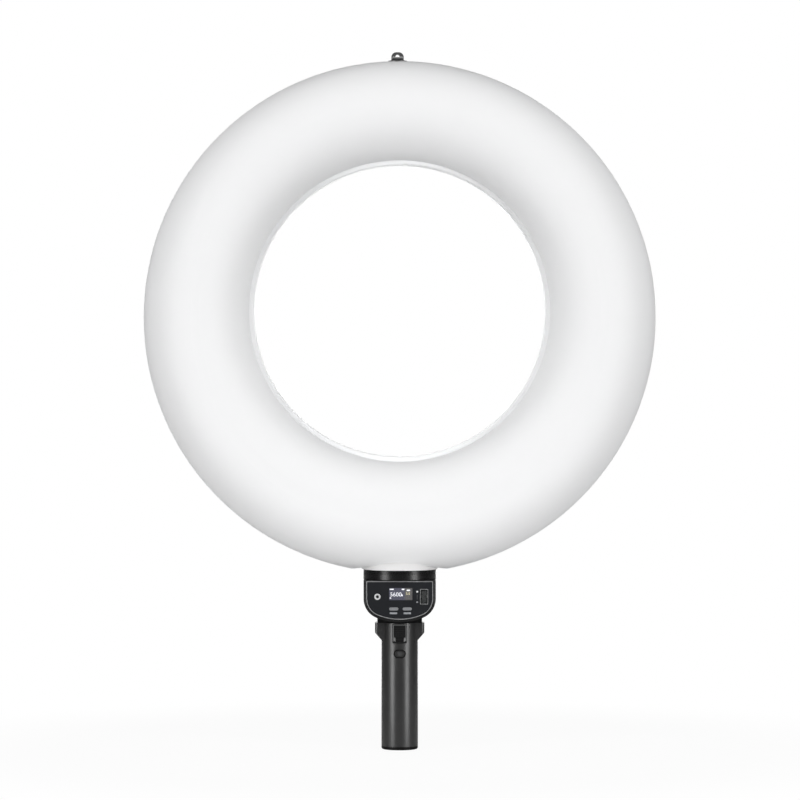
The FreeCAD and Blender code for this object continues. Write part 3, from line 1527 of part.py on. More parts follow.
def grip():
    """Handle tube with two wings at its head and the openings of lock and button."""
    body = new_body("Grip")
    top = "grip_length - base_height"
    root = "grip_radius - wing_root"
    circle = round_sketch(body, "GripCircle", "XY_Plane", "0", "0", "grip_radius")
    tube = pulled(body, "Pad", circle, top)
    doc.recompute()
    high = number(top)
    edge = body.newObject("PartDesign::Chamfer", "HeadEdge")
    edge.Base = (tube, edges_where(tube.Shape, lambda middle: abs(middle.z - high) < 0.01))
    bind(edge, Size="grip_edge")
    wings = outline(body, "WingOutline", "XZ_Plane", [
        (f"-({root})", f"{top} - wing_height"),
        (root, f"{top} - wing_height"),
        ("wing_half", f"{top} - wing_straight"),
        ("wing_half", top),
        ("-wing_half", top),
        ("-wing_half", f"{top} - wing_straight"),
    ])
    slab = pulled(body, "Pad", wings, "wing_depth", both=True)
    doc.recompute()
    half, knee = number("wing_half"), number(f"{top} - wing_straight")

    def on_wing(middle):
        at_side = abs(abs(middle.x) - half) < 0.01
        return at_side and (abs(middle.y) > 1 or abs(middle.z - knee) < 0.01)

    rounding = body.newObject("PartDesign::Fillet", "WingRound")
    rounding.Base = (slab, edges_where(slab.Shape, on_wing))
    bind(rounding, Radius="wing_bend")
    bore = round_sketch(body, "GripBore", "XY_Plane", "0", "0", BORE, shift="-over")
    pulled(body, "Pocket", bore, "grip_length + 5 * over", backwards=True)
    recess = outline(body, "RecessOutline", "XZ_Plane", [
        ("-recess_half + recess_bend", f"{top} - recess_top - recess_height", "recess_bend"),
        ("recess_half - recess_bend", f"{top} - recess_top - recess_height"),
        ("recess_half", f"{top} - recess_top - recess_height + recess_bend", "recess_bend"),
        ("recess_half", f"{top} - recess_top"),
        ("-recess_half", f"{top} - recess_top"),
        ("-recess_half", f"{top} - recess_top - recess_height + recess_bend"),
    ], shift="grip_radius / 2")
    pulled(body, "Pocket", recess, "grip_radius", backwards=True)
    button = outline(body, "OvalOutline", "XZ_Plane",
                     pill("0", f"{top} - oval_drop", "oval_width + 2 * oval_rim",
                          "oval_height + 2 * oval_rim"), shift="grip_radius / 2")
    pulled(body, "Pocket", button, "grip_radius", backwards=True)
    place(body, z="base_height")
    return keep(body, "grip")


def base_parts():
    """Cap at the handle's foot and the threaded insert for a tripod."""
    body = new_body("BaseCap")
    section = outline(body, "CapSection", "XZ_Plane", [
        ("insert_radius", "0"),
        ("grip_radius - base_bend", "0"),
        ("grip_radius", "base_bend", "base_bend"),
        ("grip_radius", "base_height - base_step"),
        ("grip_radius - base_step", "base_height - base_step"),
        ("grip_radius - base_step", "base_height"),
        (f"{BORE} - gap", "base_height"),
        (f"{BORE} - gap", "plug_height"),
        ("0", "plug_height"),
        ("0", "thread_depth + thread_floor"),
        ("insert_radius", "thread_depth + thread_floor"),
    ])
    turned(body, "Revolution", section, "Z_Axis")
    keep(body, "base_cap")
    insert = less("InsertCut",
                  rod("InsertOuter", ("0", "0", "0"), "insert_radius",
                      "thread_depth + thread_floor"),
                  rod("InsertBore", ("0", "0", "-over"), "thread_radius", "thread_depth + over"))
    return keep(insert, "tripod_insert")


def battery_parts():
    """Cell in its sleeve, on a folded leaf spring."""
    sleeve = less("SleeveCut",
                  rod("SleeveOuter", ("0", "0", "plug_height"), f"{BORE} - gap",
                      "spring_height + cell_length"),
                  rod("SleeveInner", ("0", "0", "plug_height - over"), "cell_radius + gap",
                      "spring_height + cell_length + 2 * over"))
    keep(sleeve, "battery_sleeve")
    cell = rod("CellBody", ("0", "0", CELL_FOOT), "cell_radius", "cell_length - tip_height")
    tip = rod("CellTip", ("0", "0", f"{CELL_FOOT} + cell_length / 2"), "cell_tip",
              "cell_length / 2")
    keep(joined("BatteryCell", cell, tip), "battery_cell")
    low, high = "plug_height", CELL_FOOT
    leaf = front_slab("BatterySpring", [
        ("-leaf_half", low),
        ("leaf_half", low),
        ("leaf_half", f"{low} + leaf_thick"),
        ("2 * leaf_thick - leaf_half / 2", f"{high} - leaf_thick"),
        ("leaf_half / 2", f"{high} - leaf_thick"),
        ("leaf_half / 2", high),
        ("-leaf_half / 2", high),
        ("-leaf_half / 2", f"{high} - leaf_thick"),
        ("leaf_half - 2 * leaf_thick", f"{low} + leaf_thick"),
        ("-leaf_half", f"{low} + leaf_thick"),
    ], "leaf_width / 2", "-leaf_width / 2")
    return keep(leaf, "battery_spring")


def socket_insert():
    """Core of the handle's head: a socket for the tongue and a flat that backs the lock."""
    core = rod("CoreRound", ("0", "0", INSERT_FOOT), f"{BORE} - seat_gap",
               f"{HEAD_TOP} - {INSERT_FOOT}")
    flat = block("CoreFlat", ("-grip_radius", "-grip_radius", f"{INSERT_FOOT} - over"),
                 ("grip_radius", "-insert_front", f"{HEAD_TOP} + over"))
    room = block("CoreSocket",
                 ("-tongue_half - gap", "-tongue_front - gap", f"{SOCKET_FLOOR} - board_thick"),
                 ("tongue_half + gap", "tongue_back + gap", f"{HEAD_TOP} + over"))
    way = block("CoreBoltWay",
                ("-bolt_half - run_gap", "-insert_front - over",
                 f"{BOLT_Z} - bolt_height / 2 - run_gap"),
                ("bolt_half + run_gap", "0", f"{BOLT_Z} + bolt_height / 2 + run_gap"))
    return keep(less("SocketInsert", core, flat, room, way), "socket_insert")


# Lock and handle button

SLIDER_LOW = "(grip_length - recess_top - slider_top - slider_height)"
SLIDER_HIGH = "(grip_length - recess_top - slider_top)"
FRAME_BACK = "(grip_radius - frame_drop - frame_thick)"
COVER_FRONT = "(grip_radius - frame_drop - frame_thick - gap)"
PIN_Y_REST = "(-(insert_front + pin_depth))"
OVAL_Z = "(grip_length - oval_drop)"


def recess_plate(name, margin, front, back):
    """Plate of the recess' outline, taken in by a margin, between two depths."""
    low = f"({HEAD_TOP} - recess_top - recess_height + {margin})"
    high, half = f"({HEAD_TOP} - recess_top - {margin})", f"(recess_half - {margin})"
    bend = f"(recess_bend - {margin} / 2)"
    return front_slab(name, [
        (f"-{half} + {bend}", low, bend),
        (f"{half} - {bend}", low),
        (half, f"{low} + {bend}", bend),
        (half, high),
        (f"-{half}", high),
        (f"-{half}", f"{low} + {bend}"),
    ], front, back)


def lock_frame():
    """Grey frame that stands clear in the recess on a wider foot and guides the slider."""
    rim = recess_plate("FrameRim", "frame_gap", "(grip_radius - frame_drop)", FRAME_BACK)
    foot = recess_plate("FrameFoot", "seat_gap", f"({FRAME_BACK} + frame_base)", FRAME_BACK)
    low, high = f"({SLIDER_LOW} - slider_travel - window_run)", f"({SLIDER_HIGH} + gap)"
    half = "(slider_half + gap)"
    window = front_slab("FrameWindow", [
        (f"-{half} + window_bend", low, "window_bend"),
        (f"{half} - window_bend", low),
        (half, f"{low} + window_bend", "window_bend"),
        (half, high),
        (f"-{half}", high),
        (f"-{half}", f"{low} + window_bend"),
    ], "grip_radius + over", f"{FRAME_BACK} - over")
    return keep(less("LockFrame", joined("FrameSolid", rim, foot), window), "lock_frame")


def lock_slider():
    """Ribbed thumb piece with a cover plate and two cheeks whose slots throw the bolt."""
    front = "(grip_radius + slider_proud)"
    low, high, half = SLIDER_LOW, SLIDER_HIGH, "slider_half"
    face = front_slab("SliderFace", [
        (f"-{half} + slider_bend", low, "slider_bend"),
        (f"{half} - slider_bend", low),
        (half, f"{low} + slider_bend", "slider_bend"),
        (half, high),
        (f"-{half}", high),
        (f"-{half}", f"{low} + slider_bend"),
    ], front, f"{COVER_FRONT} - cover_thick / 2")
    cover = block("SliderCover",
                  (f"-{half} - cover_side", f"-{COVER_FRONT}",
                   f"{low} - slider_travel - cover_edge"),
                  (f"{half} + cover_side", f"-{COVER_FRONT} + cover_thick",
                   f"{high} + cover_edge"))
    ribs = [
        block(f"SliderRib{index}",
              (f"-{half} - over", f"-{front} - over", f"{low} + rib_start + {index} * rib_pitch"),
              (f"{half} + over", f"-{front} + rib_depth",
               f"{low} + rib_start + {index} * rib_pitch + rib_width"))
        for index in range(int(number("rib_count")))
    ]
    inner, outer = "(bolt_half + gap)", "(bolt_half + gap + cheek_wide)"
    cheeks = [
        block(f"SliderCheek{index}",
              (left, f"-{COVER_FRONT} + cover_thick / 2", f"{BOLT_Z} - cheek_low"),
              (right, "-insert_front - 2 * gap", f"{BOLT_Z} + slider_travel + cheek_high"))
        for index, (left, right) in enumerate([(inner, outer), (f"-{outer}", f"-{inner}")])
    ]
    solid = joined("SliderSolid", face, cover, *cheeks)
    return keep(less("SliderRibbed", solid, slot_solid(), *ribs), "lock_slider")


def slot_solid():
    """Slanted slot in which the bolt's pin rides, as a bar across both cheeks."""
    radius = number("pin_radius + run_gap")
    travel, throw = number("slider_travel"), number("slider_travel * bolt_ratio")
    length = math.hypot(travel, throw)
    angle = math.degrees(math.atan2(travel, throw))
    width = number("2 * (bolt_half + gap + 2 * cheek_wide)")
    bar = Part.makeBox(width, length, 2 * radius, FreeCAD.Vector(-width / 2, 0, -radius))
    for end in (0, length):
        bar = bar.fuse(Part.makeCylinder(radius, width, FreeCAD.Vector(-width / 2, end, 0),
                                         FreeCAD.Vector(1, 0, 0)))
    bar = bar.removeSplitter()
    bar.rotate(FreeCAD.Vector(), FreeCAD.Vector(1, 0, 0), angle)
    return feature("SliderSlot", bar, y=PIN_Y_REST, z=BOLT_Z)


def lock_bolt():
    """Bolt that the slider throws into the tongue, and its cross pin."""
    solid = block("BoltBlank",
                  ("-bolt_half", f"{PIN_Y_REST} - bolt_tail", f"{BOLT_Z} - bolt_height / 2"),
                  ("bolt_half", "-insert_front + bolt_nose", f"{BOLT_Z} + bolt_height / 2"))
    hole = rod("BoltHole", ("-bolt_half - over", PIN_Y_REST, BOLT_Z), "pin_radius",
               "2 * bolt_half + 2 * over", "X")
    keep(less("LockBolt", solid, hole), "lock_bolt")
    reach = "(bolt_half + gap + cheek_wide - seat_gap)"
    pin = rod("BoltPin", (f"-{reach}", PIN_Y_REST, BOLT_Z), "pin_radius", f"2 * {reach}", "X")
    return keep(pin, "bolt_pin")


def oval_button():
    """Button on the handle, the raised ring round it and the switch behind it."""
    ring = less("OvalRingCut",
                front_slab("OvalRingOuter",
                           pill("0", OVAL_Z, "oval_width + 2 * oval_rim - 2 * seat_gap",
                                "oval_height + 2 * oval_rim - 2 * seat_gap"),
                           "grip_radius + oval_proud", f"{BORE} - oval_reach"),
                front_slab("OvalRingInner", pill("0", OVAL_Z, "oval_width", "oval_height"),
                           "grip_radius + 2 * over", f"{BORE} - 3 * over"))
    keep(ring, "oval_ring")
    cap = front_slab("OvalCap", pill("0", OVAL_Z, "oval_width - 2 * gap", "oval_height - 2 * gap"),
                     "grip_radius + oval_cap",
                     f"{BORE} - oval_reach - gap - oval_flange / 2")
    flange = front_slab("OvalFlange",
                        pill("0", OVAL_Z, "oval_width + over", "oval_height + over"),
                        f"{BORE} - oval_reach - gap", f"{BORE} - oval_reach - gap - oval_flange")
    return keep(joined("OvalButton", cap, flange), "oval_button")


def handle_switch():
    """Small board on the socket's flat and the switch that the oval button presses."""
    board = block("SwitchBoard",
                  ("-board_half", "-insert_front - board_thick", f"{OVAL_Z} - board_rise"),
                  ("board_half", "-insert_front", f"{OVAL_Z} + board_rise"))
    keep(board, "switch_board")
    case = block("HandleSwitch",
                 ("-case_half", f"-{BORE} + case_back", f"{OVAL_Z} - case_half"),
                 ("case_half", "-insert_front - board_thick", f"{OVAL_Z} + case_half"))
    return keep(case, "handle_switch")


front_diffuser()
rear_shell()
inner_trim_ring()
carrier_tray()
led_board()
led_row("WarmLeds", "warm_leds", "warm_circle")
led_row("CoolLeds", "cool_leds", "cool_circle")
shell_screws()
neck_cuff()
neck_bracket()
bracket_screws()
top_bracket()
top_bracket_screws()
hanger_screw()
bail_pin()
hanger_bail()
collar()
housing_lid()
collar_screws()
housing_shell()
face_panel()
panel_border()
display()
power_button()
mode_button("left")
mode_button("right")
dial_wheel()
dial_seat()
control_board()
power_inlet()
driver_parts()
coupling_foot()
foot_screws()
contact_parts()
grip()
base_parts()
battery_parts()
socket_insert()
lock_frame()
lock_slider()
lock_bolt()
oval_button()
handle_switch()

doc.recompute()

for item in doc.Objects:
    if "Invalid" in item.State or "Error" in item.State:
        raise RuntimeError(f"{item.Name} failed: {item.State}")
for item in kept:
    if item.Shape.isNull() or not item.Shape.isValid():
        raise RuntimeError(f"{item.Label} has no valid shape")

os.makedirs("parts", exist_ok=True)
for item in kept:
    item.Shape.exportStep(f"parts/{item.Label}.step")
    print(item.Label, len(item.Shape.Solids), round(item.Shape.Volume, 1))
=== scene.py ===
"""Looks of an LED ring light with a pull-off handle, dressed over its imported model.

Lengths are in metres, or in millimetres where a docstring says so.
"""

import logging
import math
from dataclasses import dataclass
from enum import Enum
from typing import Any, Optional, Union

import bpy
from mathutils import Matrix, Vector

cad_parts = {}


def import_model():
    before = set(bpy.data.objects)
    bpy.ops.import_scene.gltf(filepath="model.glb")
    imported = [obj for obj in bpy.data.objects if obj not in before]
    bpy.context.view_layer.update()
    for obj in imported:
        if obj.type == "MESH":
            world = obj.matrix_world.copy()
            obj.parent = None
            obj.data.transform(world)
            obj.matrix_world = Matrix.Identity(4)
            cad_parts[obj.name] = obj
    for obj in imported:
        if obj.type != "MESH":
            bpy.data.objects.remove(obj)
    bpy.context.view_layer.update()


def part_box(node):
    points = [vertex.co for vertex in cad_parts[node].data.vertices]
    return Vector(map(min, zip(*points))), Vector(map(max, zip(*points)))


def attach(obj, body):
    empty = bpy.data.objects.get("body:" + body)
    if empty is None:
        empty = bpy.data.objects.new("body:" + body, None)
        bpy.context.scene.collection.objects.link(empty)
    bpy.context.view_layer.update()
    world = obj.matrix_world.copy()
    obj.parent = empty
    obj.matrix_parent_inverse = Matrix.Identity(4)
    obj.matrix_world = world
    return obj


LOG = logging.getLogger("ring_light")

Number = Union[int, float]
Pair = tuple[float, float]
Point = tuple[float, float, float]
Colour = tuple[float, float, float]
Tones = tuple[Colour, Colour]
Settings = Optional[dict[str, Any]]
Inputs = Optional[dict[Union[int, str], Any]]

MM = 0.001
ORIGIN: Point = (0.0, 0.0, 0.0)
EVEN: Point = (1.0, 1.0, 1.0)
WHITE = (1.0, 1.0, 1.0, 1.0)

# Turn that stands a flat mesh upright and levels a camera
UPRIGHT: Point = (math.radians(90.0), 0.0, 0.0)

# Octaves of a noise, from soft to rich
SOFT, FINE, RICH = 2.0, 3.0, 4.0

# Colour sockets of a Mix node, by number because its other kinds share their names
MIX_LOW, MIX_HIGH, MIX_RESULT = 6, 7, 2

# Steps round the corner of a plate and along the curve of a digit
BEND_STEPS = 5
CURVE_STEPS = 3

# Height of a digit as a share of the text size that it is set in
DIGIT_SHARE = 0.69

# Points closer than this count as one
SAME_PLACE = 1e-7


# Shader graphs


class Wire:
    """An output socket of a shader graph that takes part in Python sums."""

    def __init__(self, graph: "Graph", socket: bpy.types.NodeSocket) -> None:
        """Keep the socket and the graph it belongs to.

        Args:
            graph: The graph that holds the socket's node.
            socket: The output socket.
        """
        self.graph = graph
        self.socket = socket

    def _math(self, operation: str, first: "Term", second: "Term") -> "Wire":
        """Add one Math node and return its output."""
        settings = {"operation": operation}
        return self.graph.wire("ShaderNodeMath", settings, {0: first, 1: second})

    def __add__(self, other: "Term") -> "Wire":
        """Add."""
        return self._math("ADD", self, other)

    def __radd__(self, other: Number) -> "Wire":
        """Add to a number."""
        return self._math("ADD", other, self)

    def __sub__(self, other: "Term") -> "Wire":
        """Subtract."""
        return self._math("SUBTRACT", self, other)

    def __rsub__(self, other: Number) -> "Wire":
        """Subtract from a number."""
        return self._math("SUBTRACT", other, self)

    def __mul__(self, other: "Term") -> "Wire":
        """Multiply."""
        return self._math("MULTIPLY", self, other)

    def __rmul__(self, other: Number) -> "Wire":
        """Multiply a number."""
        return self._math("MULTIPLY", other, self)

    def wave(self) -> "Wire":
        """Take the sine."""
        return self._math("SINE", self, 0.0)

    def root(self) -> "Wire":
        """Take the square root."""
        return self._math("SQRT", self, 0.0)

    def size(self) -> "Wire":
        """Take the absolute value."""
        return self._math("ABSOLUTE", self, 0.0)

    def most(self, other: "Term") -> "Wire":
        """Take the larger of two values."""
        return self._math("MAXIMUM", self, other)

    def about(self, width: float) -> "Wire":
        """Turn a value around 0.5 into one around 0 that is as wide as asked."""
        return (self - 0.5) * width

    def span(self, low: float, high: float) -> "Wire":
        """Stretch a value from 0 to 1 over low to high."""
        return self * (high - low) + low

    def rise(self, low: float, high: float) -> "Wire":
        """Go smoothly from 0 to 1.

        Args:
            low: Where it is 0.
            high: Where it is 1, above or below low.

        Returns:
            The eased value.
        """
        settings = {"interpolation_type": "SMOOTHSTEP", "clamp": True}
        inputs = {"Value": self, "From Min": low, "From Max": high}
        return self.graph.wire("ShaderNodeMapRange", settings, inputs)


Term = Union[Wire, Number]


class Graph:
    """The node tree of one material or of the world."""

    def __init__(self, name: str, world: Optional[bpy.types.World] = None) -> None:
        """Start an empty material, or clear a world's nodes.

        Args:
            name: The new material's name.
            world: The world whose nodes are built instead.
        """
        self.owner = world or bpy.data.materials.new(name)
        self.owner.use_nodes = True
        self.tree = self.owner.node_tree
        self.tree.nodes.clear()

    def node(self, kind: str, settings: Settings = None, inputs: Inputs = None) -> bpy.types.Node:
        """Add a node, its settings first and then its sockets.

        Args:
            kind: The node's Blender type.
            settings: Properties of the node.
            inputs: Values or wires by socket name or number.

        Returns:
            The new node.
        """
        made = self.tree.nodes.new(kind)
        for key, value in (settings or {}).items():
            setattr(made, key, value)
        for key, value in (inputs or {}).items():
            if isinstance(value, Wire):
                self.tree.links.new(value.socket, made.inputs[key])
            else:
                made.inputs[key].default_value = value
        return made

    def wire(
        self,
        kind: str,
        settings: Settings = None,
        inputs: Inputs = None,
        out: Union[int, str] = 0,
    ) -> Wire:
        """Add a node and return one of its outputs.

        Args:
            kind: The node's Blender type.
            settings: Properties of the node.
            inputs: Values or wires by socket.
            out: The output's name or number.

        Returns:
            The output as a wire.
        """
        return Wire(self, self.node(kind, settings, inputs).outputs[out])

    def place(self, centre: Point = ORIGIN, stretch: Point = EVEN) -> Wire:
        """Give the surface point, from a centre and stretched.

        Args:
            centre: The point that becomes the origin.
            stretch: The scale along each axis after that.

        Returns:
            The point as a vector wire.
        """
        kind = "ShaderNodeVectorMath"
        point = self.wire("ShaderNodeTexCoord", out="Object")
        moved = self.wire(kind, {"operation": "SUBTRACT"}, {0: point, 1: centre})
        return self.wire(kind, {"operation": "MULTIPLY"}, {0: moved, 1: stretch})

    def along(self, point: Wire) -> tuple[Wire, Wire, Wire]:
        """Split a vector into its three parts."""
        split = self.node("ShaderNodeSeparateXYZ", inputs={0: point})
        return tuple(Wire(self, split.outputs[index]) for index in range(3))

    def from_middle(self, low: Vector, high: Vector) -> tuple[Wire, Wire]:
        """Measure the surface point from the middle of a box.

        Args:
            low: The box's lowest corner.
            high: The box's highest corner.

        Returns:
            How far across and how far up the point lies.
        """
        middle = (low + high) / 2
        across, _, up = self.along(self.place((middle.x, 0.0, middle.z)))
        return across, up

    def noise(self, scale: float, detail: float, stretch: Point = EVEN) -> Wire:
        """Give soft noise around 0.5.

        Args:
            scale: Spots per metre.
            detail: Octaves of finer noise.
            stretch: Scale along each axis, for streaks.

        Returns:
            The noise value.
        """
        inputs = {"Vector": self.place(stretch=stretch), "Scale": scale, "Detail": detail}
        return self.wire("ShaderNodeTexNoise", {"normalize": True}, inputs)

    def cells(self, scale: float, distance: str = "EUCLIDEAN") -> Wire:
        """Give the distance to the nearest cell's centre.

        Args:
            scale: Cells per metre.
            distance: Blender's word for the way it is measured.

        Returns:
            The distance.
        """
        inputs = {"Vector": self.place(), "Scale": scale}
        return self.wire("ShaderNodeTexVoronoi", {"distance": distance}, inputs)

    def blend(self, factor: Term, low: Union[Wire, Colour], high: Union[Wire, Colour]) -> Wire:
        """Mix two colours.

        Args:
            factor: 0 for the first colour and 1 for the second.
            low: The first colour.
            high: The second colour.

        Returns:
            The mixed colour.
        """
        pair = [item if isinstance(item, Wire) else (*item, 1.0) for item in (low, high)]
        inputs = {0: factor, MIX_LOW: pair[0], MIX_HIGH: pair[1]}
        return self.wire("ShaderNodeMix", {"data_type": "RGBA"}, inputs, out=MIX_RESULT)

    def vary(self, factor: Term, colour: Colour, shares: Pair) -> Wire:
        """Let a colour go from its darkest to its lightest share."""
        return self.blend(factor, *(shade(colour, share) for share in shares))

    def bump(self, height: Wire, depth: float) -> Wire:
        """Turn a height from 0 to 1 into a normal, by its depth in metres."""
        inputs = {"Height": height, "Distance": depth, "Strength": 1.0}
        return self.wire("ShaderNodeBump", inputs=inputs)

    def seen(self, mirrored: float) -> Wire:
        """Tell what looks at a background.

        Args:
            mirrored: What a glossy surface gets; the camera and clear glass get 1.

        Returns:
            The share of the plain background that the ray sees.
        """
        path = self.node("ShaderNodeLightPath")
        kinds = ("Camera", "Glossy", "Transmission")
        eye, gloss, glass = (Wire(self, path.outputs[f"Is {kind} Ray"]) for kind in kinds)
        return eye.most(gloss * mirrored).most(glass)

    def surface(self, **sockets: Any) -> bpy.types.Material:
        """Close the graph with one Principled surface.

        Args:
            **sockets: Socket values; an underscore stands for a space in a name.

        Returns:
            The finished material.
        """
        inputs = {key.replace("_", " "): value for key, value in sockets.items()}
        shader = self.wire("ShaderNodeBsdfPrincipled", inputs=inputs)
        self.node("ShaderNodeOutputMaterial", inputs={"Surface": shader})
        return self.owner


def shade(colour: Colour, factor: float) -> Colour:
    """Make a colour lighter or darker."""
    return tuple(min(1.0, part * factor) for part in colour)


# Finishes


@dataclass(frozen=True)
class Moulded:
    """Moulded plastic with a fine spark-eroded grain and slight colour drift."""

    colour: Colour
    roughness: float = 0.42
    grain_scale: float = 2600.0
    grain_depth: float = 0.00001
    drift: float = 0.06
    shine: float = 0.5
    coat: float = 0.0
    coat_roughness: float = 0.25
    cloud_scale: float = 22.0
    cloud_share: float = 0.6
    cloud_rough: float = 0.10
    grain_rough: float = 0.08
    scuff_scale: float = 260.0
    scuff_stretch: Point = (1.0, 1.0, 0.25)
    scuff_range: Pair = (0.56, 0.74)
    scuff_rough: float = 0.05

    def material(self, name: str) -> bpy.types.Material:
        """Make the material.

        Args:
            name: The material's name.

        Returns:
            The material.
        """
        graph = Graph(name)
        grain = graph.noise(self.grain_scale, FINE)
        cloud = graph.noise(self.cloud_scale, FINE)
        scuff = graph.noise(self.scuff_scale, RICH, self.scuff_stretch).rise(*self.scuff_range)
        patches = cloud * self.cloud_share + grain * (1 - self.cloud_share)
        uneven = cloud.about(self.cloud_rough) + grain.about(self.grain_rough)
        return graph.surface(
            Base_Color=graph.vary(patches, self.colour, (1 - self.drift, 1 + self.drift)),
            Roughness=uneven + scuff * self.scuff_rough + self.roughness,
            Specular_IOR_Level=self.shine,
            Coat_Weight=self.coat,
            Coat_Roughness=self.coat_roughness,
            Normal=graph.bump(grain, self.grain_depth),
        )


@dataclass(frozen=True)
class Opal:
    """Milk white diffuser plastic with a silky skin."""

    colour: Colour
    roughness: float = 0.72
    shares: Pair = (0.985, 1.01)
    cloud_scale: float = 9.0
    cloud_rough: float = 0.08
    silk_scale: float = 1800.0
    silk_rough: float = 0.12
    silk_depth: float = 0.000006

    def material(self, name: str) -> bpy.types.Material:
        """Make the material.

        Args:
            name: The material's name.

        Returns:
            The material.
        """
        graph = Graph(name)
        cloud = graph.noise(self.cloud_scale, FINE)
        silk = graph.noise(self.silk_scale, SOFT)
        uneven = silk.about(self.silk_rough) + cloud.about(self.cloud_rough)
        return graph.surface(
            Base_Color=graph.vary(cloud, self.colour, self.shares),
            Roughness=uneven + self.roughness,
            Specular_IOR_Level=0.0,
            Normal=graph.bump(silk, self.silk_depth),
        )


@dataclass(frozen=True)
class Metal:
    """Bare or plated metal with fine streaks."""

    colour: Colour
    roughness: float = 0.3
    streaks: Point = (1.0, 1.0, 30.0)
    depth: float = 0.000008
    shares: Pair = (0.9, 1.06)
    streak_scale: float = 420.0
    streak_rough: float = 0.2
    tarnish_scale: float = 60.0
    tarnish_rough: float = 0.1

    def material(self, name: str) -> bpy.types.Material:
        """Make the material.

        Args:
            name: The material's name.

        Returns:
            The material.
        """
        graph = Graph(name)
        streak = graph.noise(self.streak_scale, RICH, self.streaks)
        tarnish = graph.noise(self.tarnish_scale, FINE)
        uneven = streak.about(self.streak_rough) + tarnish.about(self.tarnish_rough)
        return graph.surface(
            Base_Color=graph.vary(tarnish, self.colour, self.shares),
            Metallic=1.0,
            Roughness=uneven + self.roughness,
            Normal=graph.bump(streak, self.depth),
        )


@dataclass(frozen=True)
class Rubbery:
    """Soft dark rubber with a dry bloom."""

    colour: Colour
    roughness: Pair = (0.5, 0.65)
    shares: Pair = (1.0, 1.7)
    bloom_scale: float = 340.0
    bloom_range: Pair = (0.35, 0.75)
    grain_scale: float = 2200.0
    grain_depth: float = 0.00002

    def material(self, name: str) -> bpy.types.Material:
        """Make the material.

        Args:
            name: The material's name.

        Returns:
            The material.
        """
        graph = Graph(name)
        bloom = graph.noise(self.bloom_scale, RICH).rise(*self.bloom_range)
        grain = graph.cells(self.grain_scale)
        return graph.surface(
            Base_Color=graph.vary(bloom, self.colour, self.shares),
            Roughness=bloom.span(*self.roughness),
            Normal=graph.bump(grain, self.grain_depth),
        )


@dataclass(frozen=True)
class Board:
    """Circuit board with tracks under its solder mask.

    A track runs where the distance to a cell's centre lies between the two ranges.
    """

    colour: Colour
    track: Colour
    roughness: Pair = (0.3, 0.42)
    cell_scale: float = 420.0
    track_start: Pair = (0.32, 0.36)
    track_end: Pair = (0.42, 0.46)
    track_depth: float = 0.00003

    def material(self, name: str) -> bpy.types.Material:
        """Make the material.

        Args:
            name: The material's name.

        Returns:
            The material.
        """
        graph = Graph(name)
        maze = graph.cells(self.cell_scale, "CHEBYCHEV")
        tracks = maze.rise(*self.track_start) * (1 - maze.rise(*self.track_end))
        return graph.surface(
            Base_Color=graph.blend(tracks, self.colour, self.track),
            Roughness=tracks.span(*self.roughness),
            Normal=graph.bump(tracks, self.track_depth),
        )


@dataclass(frozen=True)
class Phosphor:
    """The speckled face of an unlit LED chip."""

    colour: Colour
    roughness: Pair = (0.25, 0.45)
    shares: Pair = (0.85, 1.0)
    speckle_scale: float = 4000.0

    def material(self, name: str) -> bpy.types.Material:
        """Make the material.

        Args:
            name: The material's name.

        Returns:
            The material.
        """
        graph = Graph(name)
        speckle = graph.noise(self.speckle_scale, FINE)
        return graph.surface(
            Base_Color=graph.vary(speckle, self.colour, self.shares),
            Roughness=speckle.span(*self.roughness),
        )


@dataclass(frozen=True)
class TintedGlass:
    """Thin smoked window with a faint smear."""

    colour: Colour
    roughness: Pair = (0.06, 0.16)
    opacity: Pair = (0.14, 0.18)
    shares: Pair = (1.0, 1.3)
    smear_scale: float = 90.0
    smear_stretch: Point = (1.0, 1.0, 0.4)

    def material(self, name: str) -> bpy.types.Material:
        """Make the material.

        Args:
            name: The material's name.

        Returns:
            The material.
        """
        graph = Graph(name)
        smear = graph.noise(self.smear_scale, FINE, self.smear_stretch)
        return graph.surface(
            Base_Color=graph.vary(smear, self.colour, self.shares),
            Roughness=smear.span(*self.roughness),
            Alpha=smear.span(*self.opacity),
        )


@dataclass(frozen=True)
class Glow:
    """A printed or lit mark."""

    colour: Colour
    strength: float = 0.0
    roughness: Pair = (0.4, 0.6)
    shares: Pair = (0.9, 1.0)
    fleck_scale: float = 3200.0

    def material(self, name: str) -> bpy.types.Material:
        """Make the material.

        Args:
            name: The material's name.

        Returns:
            The material.
        """
        graph = Graph(name)
        fleck = graph.noise(self.fleck_scale, SOFT)
        tone = graph.vary(fleck, self.colour, self.shares)
        return graph.surface(
            Base_Color=tone,
            Roughness=fleck.span(*self.roughness),
            Emission_Color=tone,
            Emission_Strength=self.strength,
        )


